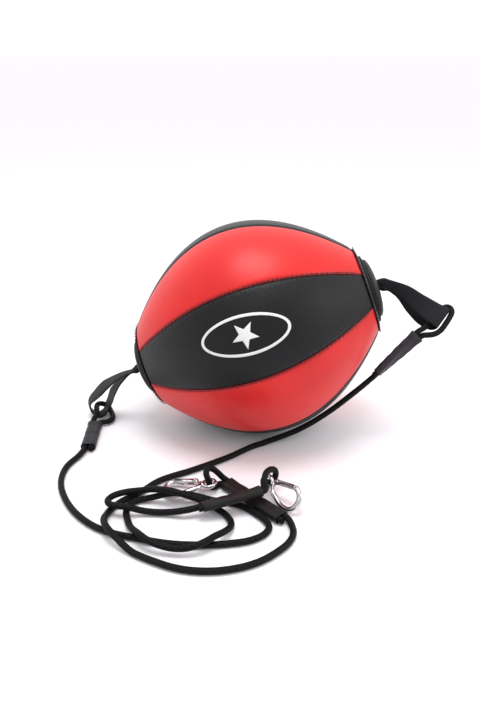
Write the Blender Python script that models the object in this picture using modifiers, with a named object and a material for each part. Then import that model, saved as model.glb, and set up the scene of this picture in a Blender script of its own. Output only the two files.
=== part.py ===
"""Double-end ball: an inflated gore-panel ball with a hanging strap, a bungee cord and a snap hook at each end.

The ball lies on the floor under the origin, with its long axis tipped up towards +X. Metres, +Z up.
"""

import math

import bmesh
import bpy
from mathutils import Matrix, Vector
from mathutils.geometry import interpolate_bezier

# Ball
BELLY_RADIUS = 0.105
END_RADIUS = 0.043
HALF_LENGTH = 0.112
TILT = math.radians(20.3)
FLATTENING = 0.0008
PANEL_COUNT = 8
PANEL_THICKNESS = 0.0025
PANEL_STEPS = 5
PROFILE_STEPS = 12
FIRST_SEAM = math.radians(-4.5)
SEAM_GAP = 0.0005
GAP = 0.0003
LINING_THICKNESS = 0.0008
BLADDER_THICKNESS = 0.0012
END_HOLE = 0.004
VALVE_RADIUS = 0.005
VALVE_BORE = 0.001
VALVE_LENGTH = 0.009
VALVE_PANEL = 4
VALVE_HOLE = 0.0025

# End caps
COLLAR_THICKNESS = 0.002
COLLAR_RISE = 0.0032
DISC_RADIUS = 0.0335
DISC_THICKNESS = 0.0018
BOSS_RADIUS = 0.029
BOSS_HEIGHT = 0.0075
BOSS_RIM = 0.0015
MOUTH = 0.0085

# Hanging straps
STRAP_THICKNESS = 0.002
STRAP_ROOT_WIDTH = 0.010
STRAP_WIDTH = 0.024
GATHERED_BIGHT = 0.014
STRAP_CLEARANCE = 0.0004
STRAP_LEAD = 0.0035
STRAP_SPACING = 0.0045

# Cords and their sleeves
CORD_RADIUS = 0.0028
CORD_LIFT = 0.0001
STRAND_GAP = 0.0005
SLEEVE_WALL = 0.0009
SLEEVE_CLEARANCE = 0.0003
TAIL = 0.004
LEAD = 0.0025
RUN_LEAD = 0.008
RUN_SPACING = 4.6 * CORD_RADIUS
LOOP_SPACING = 1.2 * CORD_RADIUS

# Snap hooks
WIRE_RADIUS = 0.0025
EYE_WIRE_RADIUS = 0.0018
EYE_RADIUS = CORD_RADIUS + EYE_WIRE_RADIUS + 0.0008
HOOK_LENGTH = 0.043
HOOK_WIDTH = 0.020
PIVOT_X = 0.0115
PIVOT_Y = 0.0052
RIVET_RADIUS = 0.0009
RIVET_HEAD_RADIUS = 0.0017
RIVET_HEAD_HEIGHT = 0.0005
TONGUE_RADIUS = 0.0026
TONGUE_THICKNESS = 0.0018
GATE_WIDTH = 0.0046
GATE_DEPTH = 0.0048
SPRING_WIRE = 0.00022
SPRING_TURNS = 3
SPRING_LENGTH = 0.0034
RUNNING_GAP = 0.0003

STRAND_OFFSET = CORD_RADIUS + STRAND_GAP / 2
FLOOR_CORD = CORD_RADIUS + CORD_LIFT
SWELL = (1 - END_RADIUS / BELLY_RADIUS) / HALF_LENGTH**2
LOWEST_STATION = -math.tan(TILT) / (2 * BELLY_RADIUS * SWELL)


def belly_radius(station):
    return BELLY_RADIUS * (1 - SWELL * station**2)


BALL_HEIGHT = (
    belly_radius(LOWEST_STATION) * math.cos(TILT) - LOWEST_STATION * math.sin(TILT) - FLATTENING
)
BALL_FRAME = Matrix.Translation((0, 0, BALL_HEIGHT)) @ Matrix.Rotation(-TILT, 4, "Y")

COLOURS = {
    "red_leather": ((0.62, 0.035, 0.03), 0.35, 0.0),
    "black_leather": ((0.025, 0.025, 0.028), 0.5, 0.0),
    "webbing": ((0.02, 0.02, 0.024), 0.7, 0.0),
    "cord": ((0.012, 0.012, 0.013), 0.8, 0.0),
    "sleeve": ((0.03, 0.026, 0.033), 0.5, 0.0),
    "rubber": ((0.05, 0.04, 0.035), 0.8, 0.0),
    "cotton": ((0.6, 0.57, 0.5), 0.9, 0.0),
    "steel": ((0.75, 0.75, 0.76), 0.2, 1.0),
}


def clear_scene():
    for obj in list(bpy.data.objects):
        bpy.data.objects.remove(obj, do_unlink=True)


def new_collection(name):
    collection = bpy.data.collections.new(name)
    bpy.context.scene.collection.children.link(collection)
    return collection


def material(name):
    found = bpy.data.materials.get(name)
    if found:
        return found
    colour, roughness, metallic = COLOURS[name]
    made = bpy.data.materials.new(name)
    made.use_nodes = True
    shader = made.node_tree.nodes["Principled BSDF"]
    shader.inputs["Base Color"].default_value = (*colour, 1)
    shader.inputs["Roughness"].default_value = roughness
    shader.inputs["Metallic"].default_value = metallic
    return made


clear_scene()
PARTS = new_collection("double_end_ball")
CUTTERS = new_collection("cutters")


def empty(name, place, parent=None):
    made = bpy.data.objects.new(name, None)
    made.empty_display_size = 0.01
    PARTS.objects.link(made)
    made.parent = parent
    made.matrix_local = place
    return made


def mesh_object(name, bm, finish, parent=None, collection=None):
    bmesh.ops.recalc_face_normals(bm, faces=bm.faces)
    mesh = bpy.data.meshes.new(name)
    bm.to_mesh(mesh)
    bm.free()
    mesh.materials.append(material(finish))
    made = bpy.data.objects.new(name, mesh)
    (collection or PARTS).objects.link(made)
    made.parent = parent
    return made


def cutter(name, bm, parent=None):
    made = mesh_object(name, bm, "steel", parent, CUTTERS)
    made.hide_render = True
    made.display_type = "WIRE"
    return made


def boolean(target, other, operation="DIFFERENCE"):
    modifier = target.modifiers.new(operation.lower(), "BOOLEAN")
    modifier.operation = operation
    modifier.solver = "EXACT"
    modifier.object = other


def merged_mesh(obj):
    """A curve's own mesh, with its loose end caps joined on."""
    graph = bpy.context.evaluated_depsgraph_get()
    mesh = bpy.data.meshes.new_from_object(obj.evaluated_get(graph))
    bm = bmesh.new()
    bm.from_mesh(mesh)
    bmesh.ops.remove_doubles(bm, verts=bm.verts, dist=0.00001)
    bpy.data.meshes.remove(mesh)
    return bm


def turned(name, outline, finish, parent, steps=32):
    """A solid turned about the local X axis. An outline that starts off the axis is closed into a ring."""
    mesh = bpy.data.meshes.new(name)
    edges = [(i, i + 1) for i in range(len(outline) - 1)]
    ring = outline[0][1] > 0
    if ring:
        edges.append((len(outline) - 1, 0))
    mesh.from_pydata([(station, 0, radius) for station, radius in outline], edges, [])
    mesh.materials.append(material(finish))
    made = bpy.data.objects.new(name, mesh)
    PARTS.objects.link(made)
    made.parent = parent
    screw = made.modifiers.new("turn", "SCREW")
    screw.axis = "X"
    screw.angle = math.tau
    screw.steps = steps
    screw.render_steps = steps
    screw.use_normal_flip = True
    screw.use_merge_vertices = not ring
    screw.merge_threshold = 0.00005
    return made


def box(size, centre=(0, 0, 0)):
    bm = bmesh.new()
    bmesh.ops.create_cube(bm, size=1, matrix=Matrix.Translation(centre) @ Matrix.Diagonal((*size, 1)))
    return bm


def cylinder(radius, length, segments=16, place=None):
    bm = bmesh.new()
    bmesh.ops.create_cone(
        bm,
        cap_ends=True,
        segments=segments,
        radius1=radius,
        radius2=radius,
        depth=length,
        matrix=place or Matrix.Identity(4),
    )
    return bm


def smooth_route(points, spacing, lowest=-1.0):
    """Evenly spaced points on one smooth curve through the chosen points, kept at or above a height."""
    knots = [Vector(p) for p in points]
    runs = [(b - a).normalized() for a, b in zip(knots, knots[1:])]
    heading = [runs[0]] + [(a + b).normalized() for a, b in zip(runs, runs[1:])] + [runs[-1]]
    fine = [knots[0]]
    for i in range(len(knots) - 1):
        reach = (knots[i + 1] - knots[i]).length * 0.36
        a = knots[i] + heading[i] * reach
        b = knots[i + 1] - heading[i + 1] * reach
        fine += interpolate_bezier(knots[i], a, b, knots[i + 1], 16)[1:]
    travelled = [0.0]
    for a, b in zip(fine, fine[1:]):
        travelled.append(travelled[-1] + (b - a).length)
    count = max(2, round(travelled[-1] / spacing))
    even, at = [], 0
    for i in range(count + 1):
        wanted = travelled[-1] * i / count
        while at < len(fine) - 2 and travelled[at + 1] < wanted:
            at += 1
        share = (wanted - travelled[at]) / (travelled[at + 1] - travelled[at])
        even.append(fine[at].lerp(fine[at + 1], share))
    for point in even:
        point.z = max(point.z, lowest)
    return even


def tube(name, points, radius, finish, parent=None, resolution=2, cyclic=False):
    curve = bpy.data.curves.new(name, "CURVE")
    curve.dimensions = "3D"
    curve.bevel_depth = radius
    curve.bevel_resolution = resolution
    curve.use_fill_caps = not cyclic
    spline = curve.splines.new("POLY")
    spline.points.add(len(points) - 1)
    for target, point in zip(spline.points, points):
        target.co = (*point, 1)
    spline.use_cyclic_u = cyclic
    curve.materials.append(material(finish))
    made = bpy.data.objects.new(name, curve)
    PARTS.objects.link(made)
    made.parent = parent
    return made


# ---------------------------------------------------------------- the ball

ball = empty("ball_frame", BALL_FRAME)
LEFT_FRAME = Matrix.Rotation(math.pi, 4, "Z") @ Matrix.Rotation(math.pi / 2, 4, "X")
left_end = empty("left_end_frame", LEFT_FRAME, ball)
right_end = empty("right_end_frame", Matrix.Identity(4), ball)

floor_cutter = cutter("floor_cutter", box((0.3, 0.3, 0.02), (0, 0, -0.01)))


def on_ball(station, angle, radius):
    """A point of the ball's frame: angle 0 faces -Y, and 90 degrees is the top."""
    return Vector((station, -radius * math.cos(angle), radius * math.sin(angle)))


def stations(half_length, steps=PROFILE_STEPS):
    return [half_length * (2 * i / steps - 1) for i in range(steps + 1)]


def gore_panel(name, first_angle, finish):
    """One leather gore: the wall's section in a plane through the axis, spun from seam to seam."""
    bm = bmesh.new()
    outer = [(s, belly_radius(s)) for s in stations(HALF_LENGTH)]
    inner = [(s, radius - PANEL_THICKNESS) for s, radius in reversed(outer)]
    edge = SEAM_GAP / 2 / BELLY_RADIUS
    section = [bm.verts.new(on_ball(s, first_angle + edge, radius)) for s, radius in outer + inner]
    face = bm.faces.new(section)
    bmesh.ops.spin(
        bm,
        geom=[face, *face.edges, *section],
        cent=(0, 0, 0),
        axis=(-1, 0, 0),
        angle=math.tau / PANEL_COUNT - 2 * edge,
        steps=PANEL_STEPS,
    )
    panel = mesh_object(name, bm, finish, ball)
    boolean(panel, floor_cutter)
    return panel


for i in range(PANEL_COUNT):
    tone = "black" if i % 2 == 0 else "red"
    seam = FIRST_SEAM + i * math.tau / PANEL_COUNT
    gore_panel(f"panel_{tone}_{i // 2 + 1}", seam, f"{tone}_leather")

VALVE_ANGLE = FIRST_SEAM + (VALVE_PANEL + 0.5) * math.tau / PANEL_COUNT
VALVE_PLACE = Matrix.Rotation(-VALVE_ANGLE, 4, "X") @ Matrix.Rotation(math.pi / 2, 4, "X")
FACET_SHARE = math.cos(math.pi / PANEL_COUNT / PANEL_STEPS)
valve_top = (BELLY_RADIUS - PANEL_THICKNESS) * FACET_SHARE - 2 * GAP

valve_cutter = cutter(
    "valve_cutter",
    cylinder(VALVE_RADIUS + GAP, 0.04, 20, VALVE_PLACE @ Matrix.Translation((0, 0, valve_top))),
    ball,
)


def wall_profile(inset, reach):
    """The wall's (station, radius) corners, moved inwards, from -reach to reach."""
    inner = stations(HALF_LENGTH)[1:-1]
    last = inner[-1]
    slope = (belly_radius(HALF_LENGTH) - belly_radius(last)) / (HALF_LENGTH - last)
    end = belly_radius(last) + slope * (reach - last) - inset
    return [(-reach, end), *[(s, belly_radius(s) - inset) for s in inner], (reach, end)]


def inner_shell(name, inset, thickness, finish):
    """A thin bag that follows the ball's inside, open where the valve passes and at the middle of each end."""
    reach = HALF_LENGTH - inset
    outer = wall_profile(inset, reach)
    inner = wall_profile(inset + thickness, reach - thickness)[::-1]
    closed = [(-reach, END_HOLE), *outer, (reach, END_HOLE)]
    closed += [(reach - thickness, END_HOLE), *inner, (-reach + thickness, END_HOLE)]
    shell = turned(name, closed, finish, ball, 32)
    boolean(shell, valve_cutter)
    return shell


LINING_INSET = PANEL_THICKNESS + 3 * GAP
BLADDER_INSET = LINING_INSET + LINING_THICKNESS + 3 * GAP
inner_shell("inner_lining", LINING_INSET, LINING_THICKNESS, "cotton")
inner_shell("bladder", BLADDER_INSET, BLADDER_THICKNESS, "rubber")

valve = mesh_object(
    "bladder_valve",
    cylinder(
        VALVE_RADIUS,
        VALVE_LENGTH,
        16,
        VALVE_PLACE @ Matrix.Translation((0, 0, valve_top - VALVE_LENGTH / 2)),
    ),
    "rubber",
    ball,
)
needle_cutter = cutter(
    "needle_cutter",
    cylinder(VALVE_BORE, 0.03, 8, VALVE_PLACE @ Matrix.Translation((0, 0, valve_top))),
    ball,
)
boolean(valve, needle_cutter)
needle_hole = cutter(
    "needle_hole_cutter",
    cylinder(VALVE_HOLE, 0.03, 12, VALVE_PLACE @ Matrix.Translation((0, 0, valve_top))),
    ball,
)
boolean(bpy.data.objects["panel_black_3"], needle_hole)


# ---------------------------------------------------------------- end caps

COLLAR_FOOT = HALF_LENGTH + GAP
COLLAR_TOP = COLLAR_FOOT + COLLAR_RISE
DISC_FOOT = COLLAR_TOP + GAP
BOSS_FOOT = DISC_FOOT + DISC_THICKNESS + GAP
BOSS_TOP = BOSS_FOOT + BOSS_HEIGHT
SLOT_WIDTH = STRAP_ROOT_WIDTH + 4 * STRAP_CLEARANCE
SLOT_DEPTH = 2 * STRAP_THICKNESS + 5 * STRAP_CLEARANCE
STRAP_SEAT = HALF_LENGTH + 0.0012


def end_cap(side, frame):
    """A collar over the panel ends, a flat disc with a proud edge, and a domed boss with the strap's slot."""
    collar = [
        (COLLAR_FOOT, MOUTH),
        (COLLAR_FOOT, END_RADIUS + 0.0006),
        (COLLAR_FOOT + 0.0012, END_RADIUS + 0.0002),
        (COLLAR_TOP, DISC_RADIUS + 0.001),
        (COLLAR_TOP, MOUTH),
    ]
    turned(f"end_collar_{side}", collar, "black_leather", frame)
    disc = [
        (DISC_FOOT, MOUTH),
        (DISC_FOOT, DISC_RADIUS),
        (DISC_FOOT + DISC_THICKNESS, DISC_RADIUS),
        (DISC_FOOT + DISC_THICKNESS, MOUTH),
    ]
    turned(f"end_disc_{side}", disc, "black_leather", frame)
    dome = [(BOSS_FOOT, 0), (BOSS_FOOT, BOSS_RADIUS)]
    for i in range(6):
        turn = math.radians(15 * i)
        height = BOSS_RIM + (BOSS_HEIGHT - BOSS_RIM) * math.sin(turn)
        dome.append((BOSS_FOOT + height, BOSS_RADIUS * math.cos(turn)))
    dome.append((BOSS_TOP, 0))
    boss = turned(f"end_boss_{side}", dome, "black_leather", frame)
    middle = (BOSS_FOOT + BOSS_TOP) / 2
    slot = cutter(f"slot_cutter_{side}", box((0.02, SLOT_DEPTH, SLOT_WIDTH), (middle, 0, 0)), frame)
    boolean(boss, slot)


end_cap("left", left_end)
end_cap("right", right_end)

# ---------------------------------------------------------------- hanging straps


def ribbon(name, points, across, widths, finish):
    """A flat band along the points, turned so that its width follows the across directions."""
    bm = bmesh.new()
    count = len(points)
    rings = []
    for i, point in enumerate(points):
        heading = (points[min(i + 1, count - 1)] - points[max(i - 1, 0)]).normalized()
        wide = (across[i] - heading * across[i].dot(heading)).normalized()
        thick = heading.cross(wide) * STRAP_THICKNESS / 2
        wide = wide * widths[i] / 2
        corners = [wide + thick, -wide + thick, -wide - thick, wide - thick]
        rings.append([bm.verts.new(point + corner) for corner in corners])
    for low, high in zip(rings, rings[1:]):
        for k in range(4):
            bm.faces.new((low[k], low[(k + 1) % 4], high[(k + 1) % 4], high[k]))
    bm.faces.new(rings[0])
    bm.faces.new(rings[-1])
    return mesh_object(name, bm, finish)


def hanging_strap(side, frame, route, across_root, across_bight, bight_width=STRAP_WIDTH):
    """A band that leaves the cap's slot, turns back round its bight and returns to the slot."""
    offset = (STRAP_THICKNESS + STRAP_CLEARANCE) / 2
    place = BALL_FRAME @ frame
    out = [place @ Vector((STRAP_SEAT, -offset, 0)), place @ Vector((BOSS_TOP + STRAP_LEAD, -offset, 0))]
    back = [place @ Vector((BOSS_TOP + STRAP_LEAD, offset, 0)), place @ Vector((STRAP_SEAT, offset, 0))]
    points = smooth_route([*out, *route, *back], STRAP_SPACING)
    across, widths = [], []
    for i in range(len(points)):
        share = 1 - abs(2 * i / (len(points) - 1) - 1)
        ease = min(1, max(0, (share - 0.22) / 0.5))
        ease = ease * ease * (3 - 2 * ease)
        gather = min(1, max(0, (share - 0.62) / 0.3))
        gather = gather * gather * (3 - 2 * gather)
        full = STRAP_WIDTH + (bight_width - STRAP_WIDTH) * gather
        across.append(Vector(across_root).lerp(Vector(across_bight), ease))
        widths.append(STRAP_ROOT_WIDTH + (full - STRAP_ROOT_WIDTH) * ease)
    return ribbon(f"hanging_strap_{side}", points, across, widths, "webbing")


LEFT_STRAP_ROUTE = [
    (-0.1400, 0.0012, 0.0505),
    (-0.1545, 0.0030, 0.0405),
    (-0.1690, 0.0055, 0.0265),
    (-0.1765, 0.0070, 0.0155),
    (-0.1752, 0.0072, 0.0065),
    (-0.1690, 0.0072, 0.0020),
    (-0.1620, 0.0068, 0.0048),
    (-0.1570, 0.0060, 0.0140),
    (-0.1490, 0.0040, 0.0310),
    (-0.1385, 0.0020, 0.0460),
]
RIGHT_STRAP_ROUTE = [
    (0.1400, -0.0060, 0.1445),
    (0.1560, -0.0140, 0.1345),
    (0.1690, -0.0220, 0.1275),
    (0.1765, -0.0245, 0.1235),
    (0.1775, -0.0205, 0.1195),
    (0.1735, -0.0140, 0.1165),
    (0.1640, -0.0085, 0.1195),
    (0.1540, -0.0045, 0.1275),
    (0.1385, -0.0004, 0.1430),
]
hanging_strap("left", LEFT_FRAME, LEFT_STRAP_ROUTE, (0, 1, 0), (-0.32, 0.95, 0.0), GATHERED_BIGHT)
hanging_strap(
    "right",
    Matrix.Identity(4),
    RIGHT_STRAP_ROUTE,
    (math.sin(TILT), 0, -math.cos(TILT)),
    (-0.607, -0.58, -0.543),
)

# ---------------------------------------------------------------- cords, end loops and sleeves


class Sleeve:
    """A straight sleeve that holds two strands side by side. Its mouth faces the loop."""

    def __init__(self, mouth, tail, side, twist=0.0):
        self.mouth, self.tail = Vector(mouth), Vector(tail)
        self.heading = (self.tail - self.mouth).normalized()
        side = Vector(side)
        self.side = (side - self.heading * side.dot(self.heading)).normalized()
        self.twist = twist

    def across(self, share):
        return Matrix.Rotation(self.twist * share, 3, self.heading) @ self.side

    def strand(self, share, sign, beyond=0.0):
        """A point of one strand: share runs from 0 at the mouth to 1 at the tail."""
        middle = self.mouth.lerp(self.tail, share) + self.heading * beyond
        return middle + self.across(share) * STRAND_OFFSET * sign

    def solid(self, name, steps=4, corner=5):
        bm = bmesh.new()
        rings = []
        for i in range(steps + 1):
            share = i / steps
            middle = self.mouth.lerp(self.tail, share)
            wide = self.across(share)
            high = self.heading.cross(wide)
            for radius in (CORD_RADIUS + SLEEVE_CLEARANCE, CORD_RADIUS + SLEEVE_CLEARANCE + SLEEVE_WALL):
                ring = []
                for end in (1, -1):
                    for k in range(corner + 1):
                        turn = math.pi * k / corner - math.pi / 2
                        offset = wide * (STRAND_OFFSET + radius * math.cos(turn))
                        offset += high * radius * math.sin(turn)
                        ring.append(bm.verts.new(middle + offset * end))
                rings.append(ring)
        for low, high_ring in [(rings[i], rings[i + 2]) for i in range(len(rings) - 2)]:
            for k in range(len(low)):
                j = (k + 1) % len(low)
                bm.faces.new((low[k], low[j], high_ring[j], high_ring[k]))
        for inner, outer in ((rings[0], rings[1]), (rings[-2], rings[-1])):
            for k in range(len(inner)):
                j = (k + 1) % len(inner)
                bm.faces.new((inner[k], inner[j], outer[j], outer[k]))
        return mesh_object(name, bm, "sleeve")


JOIN_SHARE = 0.9
JOIN_GAP = 0.0004


def end_loop(name, sleeve, route):
    """The cord's turned-back end: its cut tail, up through the sleeve, round the loop and back in."""
    tail = [sleeve.strand(1, -1, TAIL)] + [sleeve.strand(share, -1) for share in (1, 0.75, 0.5, 0.25, 0)]
    tail.append(sleeve.strand(0, -1, -LEAD))
    back = [sleeve.strand(0, 1, -LEAD)] + [sleeve.strand(share, 1) for share in (0, 0.25, 0.5, 0.75)]
    points = smooth_route([*tail, *route, *back, sleeve.strand(JOIN_SHARE, 1)], LOOP_SPACING, FLOOR_CORD)
    return tube(name, points, CORD_RADIUS, "cord")


def cord_run(name, first, last, route):
    """The cord between its two sleeves."""
    start = [first.strand(JOIN_SHARE, 1, JOIN_GAP), first.strand(1, 1), first.strand(1, 1, RUN_LEAD)]
    end = [last.strand(1, 1, RUN_LEAD), last.strand(1, 1), last.strand(JOIN_SHARE, 1, JOIN_GAP)]
    points = smooth_route([*start, *route, *end], RUN_SPACING, FLOOR_CORD)
    return tube(name, points, CORD_RADIUS, "cord")


SLEEVE_HALF_HEIGHT = CORD_RADIUS + SLEEVE_CLEARANCE + SLEEVE_WALL
ON_FLOOR = SLEEVE_HALF_HEIGHT + GAP

left_strap_sleeve = Sleeve((-0.1668, -0.0190, ON_FLOOR), (-0.1650, -0.0640, ON_FLOOR), (-1, 0, 0))
left_hook_sleeve = Sleeve((0.0010, -0.1560, 0.0165), (-0.0480, -0.1700, 0.0100), (-0.23, 0.89, -0.4))
right_strap_sleeve = Sleeve((0.1533, -0.0300, 0.1075), (0.1163, -0.0360, 0.0708), (0.75, 0.1, -0.6), -0.9)
right_hook_sleeve = Sleeve((-0.0285, -0.1270, ON_FLOOR), (0.0175, -0.1765, ON_FLOOR), (0.74, 0.67, 0))

left_strap_sleeve.solid("sleeve_left_strap")
left_hook_sleeve.solid("sleeve_left_hook")
right_strap_sleeve.solid("sleeve_right_strap")
right_hook_sleeve.solid("sleeve_right_hook")

LEFT_STRAP_LOOP = [
    (-0.1590, -0.0145, 0.0043),
    (-0.1530, -0.0120, 0.0043),
    (-0.1505, -0.0060, 0.0043),
    (-0.1520, 0.0015, 0.0043),
    (-0.1550, 0.0085, 0.0045),
    (-0.1580, 0.0150, 0.0060),
    (-0.1635, 0.0185, 0.0083),
    (-0.1690, 0.0165, 0.0098),
    (-0.1700, 0.0095, 0.0098),
    (-0.1685, 0.0015, 0.0092),
    (-0.1672, -0.0060, 0.0084),
    (-0.1692, -0.0125, 0.0062),
]
RIGHT_STRAP_LOOP = [
    (0.1605, -0.0258, 0.1140),
    (0.1665, -0.0225, 0.1175),
    (0.1722, -0.0170, 0.1220),
    (0.1785, -0.0112, 0.1272),
    (0.1846, -0.0098, 0.1298),
    (0.1884, -0.0142, 0.1272),
    (0.1870, -0.0204, 0.1218),
    (0.1822, -0.0262, 0.1160),
    (0.1750, -0.0306, 0.1112),
    (0.1670, -0.0318, 0.1090),
]
RIGHT_HOOK_LOOP = [
    (-0.0350, -0.1260, 0.0038),
    (-0.0380, -0.1284, 0.0030),
    (-0.0402, -0.1312, 0.0030),
    (-0.0430, -0.1326, 0.0048),
    (-0.0442, -0.1330, 0.0085),
    (-0.0450, -0.1328, 0.0128),
    (-0.0468, -0.1312, 0.0165),
    (-0.0466, -0.1266, 0.0190),
    (-0.0425, -0.1232, 0.0180),
    (-0.0375, -0.1216, 0.0130),
    (-0.0328, -0.1212, 0.0072),
]
LEFT_HOOK_LOOP = [
    (0.0050, -0.1530, 0.0176),
    (0.0040, -0.1450, 0.0180),
    (0.0034, -0.1370, 0.0141),
    (0.0066, -0.1345, 0.0112),
    (0.0100, -0.1320, 0.0082),
    (0.0135, -0.1292, 0.0110),
    (0.0148, -0.1282, 0.0170),
    (0.0128, -0.1298, 0.0212),
    (0.0085, -0.1340, 0.0230),
    (0.0050, -0.1410, 0.0235),
    (0.0035, -0.1490, 0.0200),
]
end_loop("cord_left_strap_loop", left_strap_sleeve, LEFT_STRAP_LOOP)
end_loop("cord_right_strap_loop", right_strap_sleeve, RIGHT_STRAP_LOOP)
end_loop("cord_right_hook_loop", right_hook_sleeve, RIGHT_HOOK_LOOP)
end_loop("cord_left_hook_loop", left_hook_sleeve, LEFT_HOOK_LOOP)

RIGHT_CORD_ROUTE = [
    (0.0900, -0.0425, 0.0530),
    (0.0663, -0.0455, 0.0305),
    (0.0400, -0.0480, 0.0140),
    (0.0057, -0.0547, 0.0030),
    (-0.0303, -0.0824, 0.0030),
    (-0.0606, -0.1030, 0.0030),
    (-0.0900, -0.1207, 0.0030),
    (-0.1051, -0.1392, 0.0030),
    (-0.1156, -0.1487, 0.0030),
    (-0.1240, -0.1589, 0.0030),
    (-0.1285, -0.1701, 0.0030),
    (-0.1285, -0.1830, 0.0075),
    (-0.1232, -0.1975, 0.0102),
    (-0.1150, -0.2065, 0.0080),
    (-0.1006, -0.2185, 0.0030),
    (-0.0831, -0.2289, 0.0030),
    (-0.0627, -0.2375, 0.0030),
    (-0.0431, -0.2402, 0.0030),
    (-0.0237, -0.2380, 0.0030),
    (-0.0044, -0.2308, 0.0030),
    (0.0133, -0.2169, 0.0030),
    (0.0225, -0.2055, 0.0030),
    (0.0262, -0.1940, 0.0030),
    (0.0256, -0.1868, 0.0032),
]
LEFT_CORD_ROUTE = [
    (-0.1715, -0.0800, 0.0035),
    (-0.1775, -0.0930, 0.0030),
    (-0.1795, -0.1090, 0.0030),
    (-0.1770, -0.1265, 0.0030),
    (-0.1702, -0.1443, 0.0030),
    (-0.1591, -0.1631, 0.0030),
    (-0.1459, -0.1782, 0.0030),
    (-0.1330, -0.1885, 0.0030),
    (-0.1199, -0.1952, 0.0030),
    (-0.1015, -0.2009, 0.0030),
    (-0.0744, -0.2080, 0.0030),
    (-0.0484, -0.2100, 0.0030),
    (-0.0217, -0.2077, 0.0030),
    (-0.0067, -0.2034, 0.0030),
    (0.0039, -0.1952, 0.0030),
    (0.0070, -0.1870, 0.0030),
    (0.0043, -0.1796, 0.0030),
    (-0.0043, -0.1687, 0.0030),
    (-0.0146, -0.1595, 0.0030),
    (-0.0273, -0.1531, 0.0030),
    (-0.0400, -0.1505, 0.0030),
    (-0.0520, -0.1495, 0.0060),
    (-0.0640, -0.1495, 0.0090),
    (-0.0773, -0.1490, 0.0090),
    (-0.0937, -0.1495, 0.0050),
    (-0.1059, -0.1510, 0.0030),
    (-0.1117, -0.1574, 0.0030),
    (-0.1130, -0.1659, 0.0030),
    (-0.1103, -0.1766, 0.0030),
    (-0.1060, -0.1890, 0.0045),
    (-0.0985, -0.2030, 0.0098),
    (-0.0880, -0.2130, 0.0095),
    (-0.0745, -0.2175, 0.0070),
    (-0.0590, -0.2190, 0.0070),
    (-0.0450, -0.2150, 0.0095),
    (-0.0370, -0.2080, 0.0098),
    (-0.0285, -0.1975, 0.0045),
    (-0.0240, -0.1860, 0.0030),
    (-0.0265, -0.1750, 0.0030),
    (-0.0351, -0.1640, 0.0030),
    (-0.0470, -0.1570, 0.0060),
    (-0.0605, -0.1560, 0.0110),
    (-0.0740, -0.1550, 0.0155),
    (-0.0890, -0.1500, 0.0140),
    (-0.1048, -0.1455, 0.0096),
    (-0.1177, -0.1485, 0.0096),
    (-0.1275, -0.1555, 0.0096),
    (-0.1290, -0.1625, 0.0096),
    (-0.1225, -0.1672, 0.0096),
    (-0.1125, -0.1690, 0.0096),
    (-0.0970, -0.1680, 0.0045),
    (-0.0790, -0.1690, 0.0040),
    (-0.0620, -0.1710, 0.0075),
]
cord_run("cord_right", right_strap_sleeve, right_hook_sleeve, RIGHT_CORD_ROUTE)
cord_run("cord_left", left_strap_sleeve, left_hook_sleeve, LEFT_CORD_ROUTE)

# ---------------------------------------------------------------- snap hooks


def hook_wire_points():
    """The bent body, in the hook's own plane: from the gate's tongue, round the neck and back, to the nose."""
    half = HOOK_WIDTH / 2
    bow = HOOK_LENGTH - WIRE_RADIUS - half
    corners = [
        (PIVOT_X, PIVOT_Y - 0.0002, 0),
        (PIVOT_X - 0.0028, PIVOT_Y - 0.0024, 0),
        (PIVOT_X - 0.0034, 0, 0),
        (PIVOT_X - 0.0010, -0.0040, 0),
        (PIVOT_X + 0.0060, -0.0072, 0),
        (bow - 0.0060, -half + 0.0002, 0),
    ]
    for i in range(7):
        turn = math.radians(-90 + 29 * i)
        corners.append((bow + half * math.cos(turn), half * math.sin(turn), 0))
    return smooth_route(corners, 0.0038)


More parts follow.
